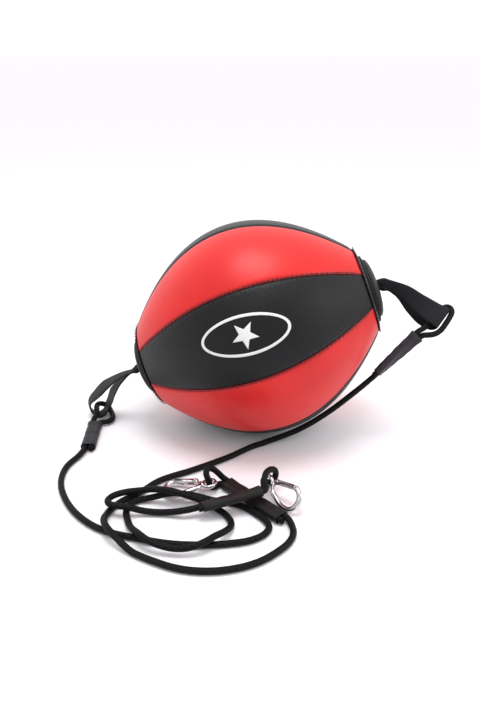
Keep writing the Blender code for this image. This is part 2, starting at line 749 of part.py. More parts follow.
def snap_hook(side, place):
    """Body with its eye, sprung gate, rivet and spring. The eye's centre is the hook's own origin."""
    frame = empty(f"{side}_hook_frame", place)
    wire = tube(f"{side}_hook_wire", hook_wire_points(), WIRE_RADIUS, "steel", frame)
    bpy.context.view_layer.update()
    body = mesh_object(f"{side}_hook_body", merged_mesh(wire), "steel", frame)
    bpy.data.objects.remove(wire)

    ring = [
        (EYE_RADIUS * math.cos(math.tau * i / 20), EYE_RADIUS * math.sin(math.tau * i / 20), 0)
        for i in range(20)
    ]
    eye_curve = tube(f"{side}_eye_wire", ring, EYE_WIRE_RADIUS, "steel", frame, 2, True)
    bpy.context.view_layer.update()
    eye = cutter(f"{side}_hook_eye", merged_mesh(eye_curve), frame)
    bpy.data.objects.remove(eye_curve)
    boolean(body, eye, "UNION")

    pivot = Matrix.Translation((PIVOT_X, PIVOT_Y, 0))
    clear = cutter(
        f"{side}_fork_cutter",
        cylinder(TONGUE_RADIUS + RUNNING_GAP, 0.02, 24, pivot),
        frame,
    )
    boolean(body, clear)
    tongue = cutter(
        f"{side}_hook_tongue",
        cylinder(TONGUE_RADIUS, TONGUE_THICKNESS, 20, pivot),
        frame,
    )
    neck = cutter(
        f"{side}_hook_neck",
        box((0.0052, 0.0040, TONGUE_THICKNESS * 0.8), (PIVOT_X - 0.0030, PIVOT_Y - 0.0024, 0)),
        frame,
    )
    boolean(body, tongue, "UNION")
    boolean(body, neck, "UNION")
    rivet_hole = cutter(
        f"{side}_rivet_cutter",
        cylinder(RIVET_RADIUS + RUNNING_GAP, 0.02, 12, pivot),
        frame,
    )
    boolean(body, rivet_hole)

    nose = Vector((HOOK_LENGTH - WIRE_RADIUS - HOOK_WIDTH / 2, HOOK_WIDTH / 2 - 0.0002, 0))
    run = nose - Vector((PIVOT_X, PIVOT_Y, 0))
    turn = math.atan2(run.y, run.x)
    gate_length = run.length + 0.0010
    gate_frame = empty(f"{side}_gate_frame", pivot @ Matrix.Rotation(turn, 4, "Z"), frame)
    gate = mesh_object(
        f"{side}_hook_gate",
        box((gate_length, GATE_WIDTH, GATE_DEPTH), (gate_length / 2, 0, 0)),
        "steel",
        gate_frame,
    )
    nose_trim = cutter(
        f"{side}_nose_trim",
        box(
            (gate_length - 0.012 + RUNNING_GAP, 0.010, 0.02),
            ((gate_length + 0.012 + RUNNING_GAP) / 2, 0.001, 0),
        ),
        gate_frame,
    )
    boolean(body, nose_trim)
    gate_eye = cutter(f"{side}_gate_eye", cylinder(GATE_WIDTH / 2, GATE_DEPTH, 20), gate_frame)
    boolean(gate, gate_eye, "UNION")
    slot_length = TONGUE_RADIUS + SPRING_LENGTH + 3 * RUNNING_GAP
    slot = cutter(
        f"{side}_gate_slot",
        box(
            (slot_length + 0.006, 0.02, TONGUE_THICKNESS + 2 * RUNNING_GAP),
            (slot_length / 2 - 0.003, 0, 0),
        ),
        gate_frame,
    )
    boolean(gate, slot)
    gate_hole = cutter(
        f"{side}_gate_hole",
        cylinder(RIVET_RADIUS + RUNNING_GAP, 0.02, 12),
        gate_frame,
    )
    boolean(gate, gate_hole)

    half_rivet = GATE_DEPTH / 2 + RUNNING_GAP + RIVET_HEAD_HEIGHT
    under_head = half_rivet - RIVET_HEAD_HEIGHT
    outline = [(-half_rivet, RIVET_HEAD_RADIUS), (-under_head, RIVET_HEAD_RADIUS)]
    outline += [(-under_head, RIVET_RADIUS), (under_head, RIVET_RADIUS)]
    outline += [(under_head, RIVET_HEAD_RADIUS), (half_rivet, RIVET_HEAD_RADIUS)]
    bm = bmesh.new()
    rings = [bm.verts.new((radius, 0, height)) for height, radius in outline]
    foot = bm.verts.new((0, 0, -half_rivet))
    top = bm.verts.new((0, 0, half_rivet))
    line = [foot, *rings, top]
    edges = [bm.edges.new(pair) for pair in zip(line, line[1:])]
    bmesh.ops.spin(
        bm,
        geom=line + edges,
        cent=(0, 0, 0),
        axis=(0, 0, 1),
        angle=math.tau,
        steps=12,
        use_merge=True,
    )
    bmesh.ops.remove_doubles(bm, verts=bm.verts, dist=0.00001)
    rivet = mesh_object(f"{side}_hook_rivet", bm, "steel", frame)
    rivet.matrix_local = pivot

    coil = []
    around = TONGUE_THICKNESS / 2 - SPRING_WIRE
    for i in range(8 * SPRING_TURNS + 1):
        turn = math.tau * i / 8
        along = TONGUE_RADIUS + RUNNING_GAP * 2 + SPRING_WIRE + SPRING_LENGTH * 0.8 * i / (8 * SPRING_TURNS)
        coil.append((along, around * math.cos(turn), around * math.sin(turn)))
    tube(f"{side}_gate_spring", coil, SPRING_WIRE, "steel", gate_frame, 1)


RIGHT_HOOK_EYE = Vector((-0.0442, -0.1330, 0.0085))
RIGHT_HOOK_TURN = math.radians(184)
RIGHT_HOOK_SLOPE = math.radians(7.4)
LEFT_HOOK_EYE = Vector((0.0066, -0.1345, 0.0112))
LEFT_HOOK_TURN = math.radians(-52.3)
LEFT_HOOK_LEAN = math.radians(55)

snap_hook(
    "right",
    Matrix.Translation(RIGHT_HOOK_EYE)
    @ Matrix.Rotation(RIGHT_HOOK_TURN, 4, "Z")
    @ Matrix.Rotation(RIGHT_HOOK_SLOPE, 4, "Y")
    @ Matrix.Rotation(math.pi, 4, "X"),
)
snap_hook(
    "left",
    Matrix.Translation(LEFT_HOOK_EYE)
    @ Matrix.Rotation(LEFT_HOOK_TURN, 4, "Z")
    @ Matrix.Rotation(LEFT_HOOK_LEAN, 4, "X"),
)
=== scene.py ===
"""Looks of the double-end ball, piece by piece in the order the maker puts it together. Metres, +Z up."""

import math

import bmesh
import bpy
from mathutils import Matrix, Vector
from mathutils.geometry import interpolate_bezier


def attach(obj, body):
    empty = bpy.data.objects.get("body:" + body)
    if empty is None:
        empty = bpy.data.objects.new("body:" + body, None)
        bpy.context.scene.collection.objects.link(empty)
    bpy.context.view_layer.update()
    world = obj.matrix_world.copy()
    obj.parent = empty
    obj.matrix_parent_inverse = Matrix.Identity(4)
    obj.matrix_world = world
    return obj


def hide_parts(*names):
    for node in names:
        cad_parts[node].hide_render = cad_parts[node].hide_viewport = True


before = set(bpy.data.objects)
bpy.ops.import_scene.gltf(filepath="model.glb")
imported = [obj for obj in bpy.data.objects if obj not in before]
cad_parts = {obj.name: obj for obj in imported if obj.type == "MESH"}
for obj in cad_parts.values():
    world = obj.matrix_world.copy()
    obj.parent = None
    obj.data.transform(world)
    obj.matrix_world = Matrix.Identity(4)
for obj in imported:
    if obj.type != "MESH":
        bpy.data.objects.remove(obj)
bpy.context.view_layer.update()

# ---------------------------------------------------------------- bladder, valve and lining
# A black butyl bladder holds the air. A plug valve takes the pump's needle, and a cotton lining
# glued inside the leather keeps the gores from stretching.


def feed(tree, target, value):
    """Sets a socket to a value, or links another node's output to it."""
    if isinstance(value, bpy.types.NodeSocket):
        tree.links.new(value, target)
    else:
        target.default_value = value


def add_node(tree, kind, feeds=(), **settings):
    node = tree.nodes.new(kind)
    for key, value in settings.items():
        setattr(node, key, value)
    for key, value in dict(feeds).items():
        feed(tree, node.inputs[key], value)
    return node


def maths(tree, operation, first, second=0.0, third=0.0):
    return add_node(
        tree, "ShaderNodeMath", {0: first, 1: second, 2: third}, operation=operation
    ).outputs[0]


def new_group(name, takes, gives):
    """A node group from {input name: kind and default} and the names of its outputs."""
    group = bpy.data.node_groups.new(name, "ShaderNodeTree")
    for socket_name, (kind, default) in takes.items():
        socket = group.interface.new_socket(socket_name, in_out="INPUT", socket_type=kind)
        if default is not None:
            socket.default_value = default
    for socket_name in gives:
        group.interface.new_socket(socket_name, in_out="OUTPUT", socket_type="NodeSocketFloat")
    return group, group.nodes.new("NodeGroupInput"), group.nodes.new("NodeGroupOutput")


def place_group(tree, group, feeds):
    node = tree.nodes.new("ShaderNodeGroup")
    node.node_tree = group
    for key, value in feeds.items():
        feed(tree, node.inputs[key], value)
    return node


def new_finish(name):
    made = bpy.data.materials.new(name)
    made.use_nodes = True
    tree = made.node_tree
    tree.nodes.clear()
    shader = tree.nodes.new("ShaderNodeBsdfPrincipled")
    out = tree.nodes.new("ShaderNodeOutputMaterial")
    tree.links.new(shader.outputs[0], out.inputs[0])
    return made, tree, shader


def two_tones(tree, share, dark, light):
    mix = add_node(tree, "ShaderNodeMix", {0: share}, data_type="RGBA")
    mix.inputs[6].default_value = (*dark, 1)
    mix.inputs[7].default_value = (*light, 1)
    return mix.outputs[2]


def paint(tree, shader, share, dark, light):
    """Base colour between a dark and a light tone."""
    feed(tree, shader.inputs["Base Color"], two_tones(tree, share, dark, light))


def roughen(tree, shader, share, reach, least):
    """Roughness from the least upwards."""
    feed(tree, shader.inputs["Roughness"], maths(tree, "MULTIPLY_ADD", share, reach, least))


def emboss(tree, shader, height, distance, strength, under=None):
    """Relief on the surface, on top of an earlier relief if one is given."""
    feeds = {"Height": height, "Distance": distance, "Strength": strength}
    if under is not None:
        feeds["Normal"] = under
    relief = add_node(tree, "ShaderNodeBump", feeds).outputs[0]
    feed(tree, shader.inputs["Normal"], relief)
    return relief


def object_place(tree):
    return add_node(tree, "ShaderNodeTexCoord").outputs["Object"]


def bloom_group():
    """Slow cloudy variation, for dust, wear and handling on any surface."""
    group, given, gives = new_group(
        "bloom",
        {"Vector": ("NodeSocketVector", None), "Scale": ("NodeSocketFloat", 30.0)},
        ["Cloud", "Fine"],
    )
    place, scale = given.outputs[0], given.outputs[1]
    slow = add_node(group, "ShaderNodeTexNoise", {"Vector": place, "Scale": scale, "Detail": 3.0})
    quick_scale = maths(group, "MULTIPLY", scale, 14.0)
    quick = add_node(group, "ShaderNodeTexNoise", {"Vector": place, "Scale": quick_scale, "Detail": 2.0})
    group.links.new(slow.outputs[0], gives.inputs[0])
    group.links.new(quick.outputs[0], gives.inputs[1])
    return group


BLOOM = bloom_group()


def rubber_finish():
    made, tree, shader = new_finish("bladder_rubber")
    place = object_place(tree)
    bloom = place_group(tree, BLOOM, {"Vector": place, "Scale": 45.0})
    paint(tree, shader, bloom.outputs[0], (0.03, 0.03, 0.032), (0.09, 0.085, 0.08))
    roughen(tree, shader, bloom.outputs[1], 0.3, 0.6)
    emboss(tree, shader, bloom.outputs[1], 0.0002, 0.6)
    return made


def cotton_finish():
    """Plain weave, from two crossed sets of ribs about 1 mm apart."""
    made, tree, shader = new_finish("lining_cotton")
    place = object_place(tree)
    ribs = []
    for direction in ("X", "Z"):
        wave = add_node(
            tree,
            "ShaderNodeTexWave",
            {"Vector": place, "Scale": 320.0, "Distortion": 0.6},
            bands_direction=direction,
        )
        ribs.append(wave.outputs["Fac"])
    weave = maths(tree, "MAXIMUM", ribs[0], ribs[1])
    paint(tree, shader, weave, (0.36, 0.33, 0.28), (0.68, 0.64, 0.56))
    shader.inputs["Roughness"].default_value = 0.92
    emboss(tree, shader, weave, 0.0002, 0.8)
    return made


def refinish(node_names, finish):
    """Gives CAD nodes their material."""
    for name in node_names:
        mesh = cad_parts[name].data
        mesh.materials.clear()
        mesh.materials.append(finish)


refinish(["bladder", "bladder_valve"], rubber_finish())
refinish(["inner_lining"], cotton_finish())

# ---------------------------------------------------------------- the eight gores
# Four black and four red gores of coated leather, sewn inside out and turned. The leather shown is
# 1.8 mm thick. Air pressure crowns each gore a little between its seams and rolls its edges in.

BELLY_RADIUS = 0.105
END_RADIUS = 0.043
HALF_LENGTH = 0.112
TILT = math.radians(20.3)
FLATTENING = 0.0008
GORES = 8
FIRST_SEAM = math.radians(-4.5)
GORE_ANGLE = math.tau / GORES
GORE_STATIONS = 72
GORE_COLUMNS = 26
GORE_CROWN = 0.0007
SEAM_DEPTH = 0.0013
SEAM_ROLL = 0.0012
LEATHER_THICKNESS = 0.0018
FLOOR_CLEARANCE = 0.0003
SEAM_OPENING = 0.00022
PEBBLE_SHIFT = 0.0011
GATHER_REACH = 1 / 420
# Reach of the painted shade beside each seam.
SEAM_SHADE_REACH = 1 / 900

SWELL = (1 - END_RADIUS / BELLY_RADIUS) / HALF_LENGTH**2


def belly_radius(station):
    return BELLY_RADIUS * (1 - SWELL * station**2)


def on_ball(station, angle, radius):
    """A point of the ball's own frame: angle 0 faces -Y, and 90 degrees is the top."""
    return Vector((station, -radius * math.cos(angle), radius * math.sin(angle)))


lowest = -math.tan(TILT) / (2 * BELLY_RADIUS * SWELL)
ball_height = belly_radius(lowest) * math.cos(TILT) - lowest * math.sin(TILT) - FLATTENING
BALL = Matrix.Translation((0, 0, ball_height)) @ Matrix.Rotation(-TILT, 4, "Y")


def finished(name, bm, finish, body, *stands_for, smooth=True):
    """Makes the piece: its mesh is in place already, so the object sits at the origin."""
    mesh = bpy.data.meshes.new(name)
    bm.to_mesh(mesh)
    bm.free()
    mesh.materials.append(finish)
    for face in mesh.polygons:
        face.use_smooth = smooth
    piece = bpy.data.objects.new(name, mesh)
    bpy.context.scene.collection.objects.link(piece)
    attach(piece, body)
    if stands_for:
        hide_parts(*stands_for)
    return piece


def grain_group():
    """Pebbled leather: rounded cells with creases between them."""
    group, given, gives = new_group(
        "leather_grain",
        {"Vector": ("NodeSocketVector", None), "Scale": ("NodeSocketFloat", 900.0)},
        ["Height", "Crease"],
    )
    place = given.outputs[0]
    bend = add_node(group, "ShaderNodeTexNoise", {"Vector": place, "Scale": 220.0, "Detail": 1.0})
    reach = (PEBBLE_SHIFT, PEBBLE_SHIFT, PEBBLE_SHIFT)
    shift = add_node(
        group, "ShaderNodeVectorMath", {0: bend.outputs["Color"], 1: reach}, operation="MULTIPLY"
    )
    moved = add_node(group, "ShaderNodeVectorMath", {0: place, 1: shift.outputs[0]}, operation="ADD")
    cells = add_node(
        group,
        "ShaderNodeTexVoronoi",
        {"Vector": moved.outputs[0], "Scale": given.outputs[1]},
        feature="DISTANCE_TO_EDGE",
    )
    pebble = maths(group, "SMOOTH_MIN", cells.outputs["Distance"], 0.22, 0.2)
    group.links.new(pebble, gives.inputs[0])
    group.links.new(maths(group, "LESS_THAN", cells.outputs["Distance"], 0.06), gives.inputs[1])
    return group


def pucker_group():
    """Small gathers beside a sewn seam, and a painted shade that fades within about a millimetre of it.
    The UV map is metres along the seam and metres away from it.
    """
    group, given, gives = new_group(
        "seam_gathers",
        {"UV": ("NodeSocketVector", None), "Pitch": ("NodeSocketFloat", 0.0042)},
        ["Height", "SeamShade"],
    )
    parts = add_node(group, "ShaderNodeSeparateXYZ", {0: given.outputs[0]})
    wobble = add_node(group, "ShaderNodeTexNoise", {"Vector": given.outputs[0], "Scale": 120.0})
    along = maths(group, "MULTIPLY_ADD", wobble.outputs[0], 0.004, parts.outputs[0])
    turns = maths(group, "DIVIDE", maths(group, "MULTIPLY", along, math.tau), given.outputs[1])
    wave = maths(group, "SINE", turns)
    near = maths(group, "EXPONENT", maths(group, "MULTIPLY", parts.outputs[1], -1 / GATHER_REACH))
    group.links.new(maths(group, "MULTIPLY", wave, near), gives.inputs[0])
    # Painted shade along the seam, strongest at the seam and fading over about a millimetre.
    painted_seam_shade = maths(group, "EXPONENT", maths(group, "MULTIPLY", parts.outputs[1], -1 / SEAM_SHADE_REACH))
    group.links.new(painted_seam_shade, gives.inputs[1])
    return group


GRAIN = grain_group()
GATHERS = pucker_group()


def gore_finish(name, deep, face, grain_scale, grain_strength, roughness, coat, shine):
    made, tree, shader = new_finish(name)
    coordinates = add_node(tree, "ShaderNodeTexCoord")
    place, uv = coordinates.outputs["Object"], coordinates.outputs["UV"]
    grain = place_group(tree, GRAIN, {"Vector": place, "Scale": grain_scale})
    bloom = place_group(tree, BLOOM, {"Vector": place, "Scale": 18.0})
    seam = place_group(tree, GATHERS, {"UV": uv})
    tone = maths(tree, "MULTIPLY_ADD", bloom.outputs[0], 0.5, 0.35)
    tone = maths(tree, "SUBTRACT", tone, maths(tree, "MULTIPLY", grain.outputs[1], 0.22))
    # Painted shade: the tone darkens close to each seam, where the rolled-in edges fall into shade.
    tone = maths(tree, "SUBTRACT", tone, maths(tree, "MULTIPLY", seam.outputs[1], 0.9))
    paint(tree, shader, tone, deep, face)
    roughen(tree, shader, bloom.outputs[1], 0.12, roughness)
    fine = emboss(tree, shader, grain.outputs[0], 0.0006, grain_strength)
    emboss(tree, shader, seam.outputs[0], 0.0005, 0.5, fine)
    shader.inputs["Specular IOR Level"].default_value = shine
    shader.inputs["Coat Weight"].default_value = coat
    shader.inputs["Coat Roughness"].default_value = 0.3
    return made


RED_LEATHER = gore_finish(
    "red_leather", (0.34, 0.006, 0.008), (0.84, 0.022, 0.018), 1300.0, 0.10, 0.34, 0.10, 0.25
)
BLACK_LEATHER = gore_finish(
    "black_leather", (0.002, 0.002, 0.003), (0.010, 0.010, 0.011), 620.0, 0.8, 0.34, 0.05, 0.2
)


def gore(name, node, first_angle, finish):
    """One gore, spun from seam to seam, its columns crowded towards the seams and its edges rolled in."""
    bm = bmesh.new()
    line = []
    for i in range(GORE_STATIONS + 1):
        share = 2 * i / GORE_STATIONS - 1
        station = HALF_LENGTH * (1.35 * share - 0.35 * share**3)
        line.append(bm.verts.new(on_ball(station, first_angle, belly_radius(station))))
    edges = [bm.edges.new(pair) for pair in zip(line, line[1:])]
    bmesh.ops.spin(
        bm, geom=[*line, *edges], cent=(0, 0, 0), axis=(-1, 0, 0), angle=GORE_ANGLE, steps=GORE_COLUMNS
    )
    middle = first_angle + GORE_ANGLE / 2
    seam_distance = {}
    for vert in bm.verts:
        station, y, z = vert.co
        turned = (math.atan2(z, -y) - middle + math.pi) % math.tau - math.pi
        share = max(-1.0, min(1.0, turned / (GORE_ANGLE / 2)))
        share = 1.5 * share - 0.5 * share**3
        radius = belly_radius(station)
        away = (1 - abs(share)) * GORE_ANGLE / 2 * radius
        roll = math.exp(-((away / SEAM_ROLL) ** 2))
        roll = max(roll, math.exp(-(((HALF_LENGTH - abs(station)) / SEAM_ROLL) ** 2)))
        crown = GORE_CROWN * (1 - share**2) * (1 - (station / HALF_LENGTH) ** 4)
        inset = share * (GORE_ANGLE / 2 - SEAM_OPENING / radius)
        vert.co = on_ball(station, middle + inset, radius + crown - SEAM_DEPTH * roll)
        seam_distance[vert] = away
    bmesh.ops.recalc_face_normals(bm, faces=bm.faces)
    uv = bm.loops.layers.uv.new("UVMap")
    for face in bm.faces:
        for loop in face.loops:
            loop[uv].uv = (loop.vert.co.x, seam_distance[loop.vert])
    bmesh.ops.transform(bm, matrix=BALL, verts=bm.verts)
    for vert in bm.verts:
        vert.co.z = max(vert.co.z, FLOOR_CLEARANCE)
    piece = finished(name, bm, finish, "ball", node)
    wall = piece.modifiers.new("leather", "SOLIDIFY")
    wall.thickness = LEATHER_THICKNESS
    wall.offset = -1
    return piece


for i in range(GORES):
    colour = "black" if i % 2 == 0 else "red"
    finish = BLACK_LEATHER if colour == "black" else RED_LEATHER
    panel = gore(
        f"gore_{colour}_{i // 2 + 1}", f"panel_{colour}_{i // 2 + 1}", FIRST_SEAM + i * GORE_ANGLE, finish
    )

# ---------------------------------------------------------------- seam stitching
# Black bonded thread in a running stitch of 2.7 mm every 3.6 mm, sunk beside each seam on the
# red gore's edge. Another row goes round each end, where the gores meet the collar.

STITCH_LENGTH = 0.0027
STITCH_PITCH = 0.0036
THREAD_RADIUS = 0.00042
STITCH_OFFSET = 0.0012
STITCH_SINK = 0.32 * SEAM_DEPTH - 0.0001
FIRST_STITCH = 0.004
LAST_STITCH = 0.005


def thread_finish():
    made, tree, shader = new_finish("black_thread")
    place = object_place(tree)
    bloom = place_group(tree, BLOOM, {"Vector": place, "Scale": 300.0})
    paint(tree, shader, bloom.outputs[0], (0.004, 0.004, 0.005), (0.03, 0.028, 0.03))
    roughen(tree, shader, bloom.outputs[1], 0.2, 0.5)
    return made


THREAD = thread_finish()


def add_stitch(bm, start, end, up, radius=THREAD_RADIUS):
    """One laid stitch, a six-sided bead stretched from hole to hole and sunk at its ends."""
    along = end - start
    side = up.cross(along).normalized()
    lift = along.cross(side).normalized()
    if lift.dot(up) < 0:
        lift = -lift
    axes = Matrix((along.normalized(), side, lift)).transposed().to_4x4()
    shape = Matrix.Diagonal((along.length / 2, radius, radius, 1))
    place = Matrix.Translation((start + end) / 2) @ axes @ shape
    bmesh.ops.create_uvsphere(bm, u_segments=6, v_segments=4, radius=1, matrix=place)


stitches = bmesh.new()
for seam in range(GORES):
    side = -1 if seam % 2 == 0 else 1
    station = -HALF_LENGTH + FIRST_STITCH
    while station < HALF_LENGTH - LAST_STITCH:
        slope = 2 * BELLY_RADIUS * SWELL * station
        step = STITCH_PITCH / math.sqrt(1 + slope**2)
        length = STITCH_LENGTH / math.sqrt(1 + slope**2)
        ends = []
        for place in (station, station + length):
            radius = belly_radius(place)
            angle = FIRST_SEAM + seam * GORE_ANGLE + side * STITCH_OFFSET / radius
            ends.append(BALL @ on_ball(place, angle, radius - STITCH_SINK))
        out = ends[0] - BALL @ Vector((station, 0, 0))
        if min(ends[0].z, ends[1].z) > 0.0008:
            add_stitch(stitches, ends[0], ends[1], out.normalized())
        station += step
finished("seam_stitches", stitches, THREAD, "ball")

# ---------------------------------------------------------------- printed badge
# A plain white screen print on the front black gore: an oval line with a star in it.

PRINT_HEIGHT = 0.00025
PRINT_STATION = -0.001
PRINT_ANGLE = FIRST_SEAM + GORE_ANGLE * 0.52
PRINT_TURN = math.radians(-6)
OVAL_LENGTH = 0.080
OVAL_WIDTH = 0.036
OVAL_LINE = 0.0026
STAR_RADIUS = 0.0125
STAR_NOTCH = 0.42
PRINT_THICKNESS = 0.00012


def print_finish():
    made, tree, shader = new_finish("white_print")
    place = object_place(tree)
    grain = place_group(tree, GRAIN, {"Vector": place, "Scale": 1000.0})
    bloom = place_group(tree, BLOOM, {"Vector": place, "Scale": 60.0})
    tone = maths(tree, "SUBTRACT", bloom.outputs[0], maths(tree, "MULTIPLY", grain.outputs[1], 0.5))
    paint(tree, shader, tone, (0.62, 0.62, 0.62), (0.85, 0.85, 0.84))
    shader.inputs["Roughness"].default_value = 0.5
    emboss(tree, shader, grain.outputs[0], 0.0004, 0.3)
    return made


badge = bmesh.new()
loops = []
for inset in (0.0, OVAL_LINE):
    ring = bmesh.ops.create_circle(badge, segments=96, radius=1)["verts"]
    bmesh.ops.scale(badge, vec=(OVAL_LENGTH / 2 - inset, OVAL_WIDTH / 2 - inset, 1), verts=ring)
    loops += {edge for vert in ring for edge in vert.link_edges}
bmesh.ops.bridge_loops(badge, edges=loops)
star = bmesh.ops.create_circle(
    badge, segments=10, radius=STAR_RADIUS, cap_ends=True, cap_tris=True
)["verts"]
rim = sorted((v for v in star if v.co.length > STAR_RADIUS / 2), key=lambda v: math.atan2(v.co.y, v.co.x))
for vert in rim[1::2]:
    vert.co *= STAR_NOTCH
bmesh.ops.subdivide_edges(badge, edges=badge.edges, cuts=3, use_grid_fill=True)
bmesh.ops.rotate(badge, matrix=Matrix.Rotation(PRINT_TURN, 3, "Z"), verts=badge.verts)
for vert in badge.verts:
    x, y, _ = vert.co
    radius = belly_radius(PRINT_STATION + x) + PRINT_HEIGHT
    share = (PRINT_ANGLE + y / BELLY_RADIUS - FIRST_SEAM) / GORE_ANGLE * 2 - 1
    radius += GORE_CROWN * (1 - share**2) * (1 - ((PRINT_STATION + x) / HALF_LENGTH) ** 4)
    vert.co = BALL @ on_ball(PRINT_STATION + x, PRINT_ANGLE + y / BELLY_RADIUS, radius)
for face in badge.faces:
    if face.normal.dot(face.calc_center_median() - BALL.translation) < 0:
        face.normal_flip()
badge_print = finished("badge_print", badge, print_finish(), "ball")
film = badge_print.modifiers.new("film", "SOLIDIFY")
film.thickness = PRINT_THICKNESS
film.offset = -1

# ---------------------------------------------------------------- end collars, discs and bosses
# Each end is closed by a ring of leather sewn over the gores' ends, a stiff disc with a proud cut
# edge, and a padded boss with a slot through which the strap passes.

COLLAR_FOOT = HALF_LENGTH + 0.0003
COLLAR_RISE = 0.0032
DISC_FOOT = COLLAR_FOOT + COLLAR_RISE + 0.0003
DISC_RADIUS = 0.0335
DISC_THICKNESS = 0.0018
BOSS_FOOT = DISC_FOOT + DISC_THICKNESS + 0.0003
BOSS_RADIUS = 0.029
BOSS_HEIGHT = 0.0075
BOSS_TOP = BOSS_FOOT + BOSS_HEIGHT
BOSS_RIM = 0.0015
COLLAR_STITCHES = 64
BOSS_STITCHES = 48
MOUTH = 0.0085
STRAP_THICKNESS = 0.002
STRAP_CLEARANCE = 0.0004
STRAP_ROOT_WIDTH = 0.010
SLOT_WIDTH = STRAP_ROOT_WIDTH + 4 * STRAP_CLEARANCE
SLOT_DEPTH = 2 * STRAP_THICKNESS + 5 * STRAP_CLEARANCE
END_FRAMES = {
    "left": BALL @ Matrix.Rotation(math.pi, 4, "Z") @ Matrix.Rotation(math.pi / 2, 4, "X"),
    "right": BALL,
}


def trim_leather(name, deep, face, grain_scale, bloom_scale, crease, wear):
    """Black leather of a small piece, with the nodes that a further relief needs."""
    made, tree, shader = new_finish(name)
    place = object_place(tree)
    grain = place_group(tree, GRAIN, {"Vector": place, "Scale": grain_scale})
    bloom = place_group(tree, BLOOM, {"Vector": place, "Scale": bloom_scale})
    tone = maths(tree, "SUBTRACT", bloom.outputs[0], maths(tree, "MULTIPLY", grain.outputs[1], crease))
    paint(tree, shader, tone, deep, face)
    roughen(tree, shader, bloom.outputs[1], wear, 0.38)
    shader.inputs["Specular IOR Level"].default_value = 0.3
    relief = emboss(tree, shader, grain.outputs[0], 0.0008, 0.5)
    return made, tree, shader, bloom, relief


CAP_LEATHER = trim_leather(
    "cap_leather", (0.002, 0.002, 0.003), (0.014, 0.013, 0.015), 850.0, 40.0, 0.35, 0.18
)[0]


def lathe(outline, place, steps=72):
    """A ring, dome or pin turned about its axis from (station, radius) corners round its section."""
    bm = bmesh.new()
    corners = [bm.verts.new((station, 0, radius)) for station, radius in outline]
    pairs = list(zip(corners, corners[1:]))
    if outline[0][1] > 0:
        pairs.append((corners[-1], corners[0]))
    edges = [bm.edges.new(pair) for pair in pairs]
    bmesh.ops.spin(
        bm,
        geom=corners + edges,
        cent=(0, 0, 0),
        axis=(1, 0, 0),
        angle=math.tau,
        steps=steps,
        use_merge=True,
    )
    bmesh.ops.remove_doubles(bm, verts=bm.verts, dist=0.00001)
    bmesh.ops.recalc_face_normals(bm, faces=bm.faces)
    bmesh.ops.transform(bm, matrix=place, verts=bm.verts)
    return bm


def round_corner(outline, corner, radius, steps=4):
    """The outline with one corner rounded off."""
    before, here, after = (Vector(outline[(corner + k) % len(outline)]) for k in (-1, 0, 1))
    start = here + (before - here).normalized() * radius
    end = here + (after - here).normalized() * radius
    arc = []
    for k in range(steps + 1):
        t = k / steps
        arc.append(tuple(start * (1 - t) ** 2 + here * 2 * t * (1 - t) + end * t**2))
    return outline[:corner] + arc + outline[corner + 1 :]


def cap_end(side):
    place = END_FRAMES[side]
    collar = [
        (COLLAR_FOOT, MOUTH),
        (COLLAR_FOOT, END_RADIUS - 0.0006),
        (COLLAR_FOOT + 0.0009, END_RADIUS - 0.0002),
        (COLLAR_FOOT + COLLAR_RISE, DISC_RADIUS + 0.001),
        (COLLAR_FOOT + COLLAR_RISE, MOUTH),
    ]
    collar = round_corner(round_corner(collar, 2, 0.0007), 1, 0.0003)
    ring = finished(f"{side}_collar", lathe(collar, place), CAP_LEATHER, "ball", f"end_collar_{side}")

    disc = [
        (DISC_FOOT, MOUTH),
        (DISC_FOOT, DISC_RADIUS),
        (DISC_FOOT + DISC_THICKNESS, DISC_RADIUS),
        (DISC_FOOT + DISC_THICKNESS, MOUTH),
    ]
    disc = round_corner(round_corner(disc, 2, 0.0006), 1, 0.0006)
    plate = finished(f"{side}_disc", lathe(disc, place), CAP_LEATHER, "ball", f"end_disc_{side}")

    dome = [(BOSS_FOOT, 0), (BOSS_FOOT, BOSS_RADIUS - 0.0006), (BOSS_FOOT + 0.0005, BOSS_RADIUS)]
    for k in range(13):
        turn = math.radians(7 * k)
        height = BOSS_RIM + (BOSS_HEIGHT - BOSS_RIM) * math.sin(turn)
        dome.append((BOSS_FOOT + height, BOSS_RADIUS * math.cos(turn)))
    dome.append((BOSS_TOP, 0))
    boss = finished(f"{side}_boss", lathe(dome, place), CAP_LEATHER, "ball", f"end_boss_{side}")
    slot_bm = bmesh.new()
    middle = Matrix.Translation(((BOSS_FOOT + BOSS_TOP) / 2, 0, 0))
    size = Matrix.Diagonal((0.02, SLOT_DEPTH, SLOT_WIDTH, 1))
    bmesh.ops.create_cube(slot_bm, size=1, matrix=place @ middle @ size)
    cut_through(boss, slot_bm)

    bm = bmesh.new()
    rows = [
        (COLLAR_FOOT + 0.0012, END_RADIUS + 0.0004, COLLAR_STITCHES),
        (BOSS_FOOT + 0.0006, BOSS_RADIUS + 0.0002, BOSS_STITCHES),
    ]
    for station, radius, count in rows:
        for k in range(count):
            turns = [math.tau * (k + share) / count for share in (0.12, 0.82)]
            ends = [place @ on_ball(station, turn, radius) for turn in turns]
            out = ends[0] - place @ Vector((station, 0, 0))
            add_stitch(bm, ends[0], ends[1], out.normalized(), 0.0004)
    finished(f"{side}_cap_stitches", bm, THREAD, "ball")


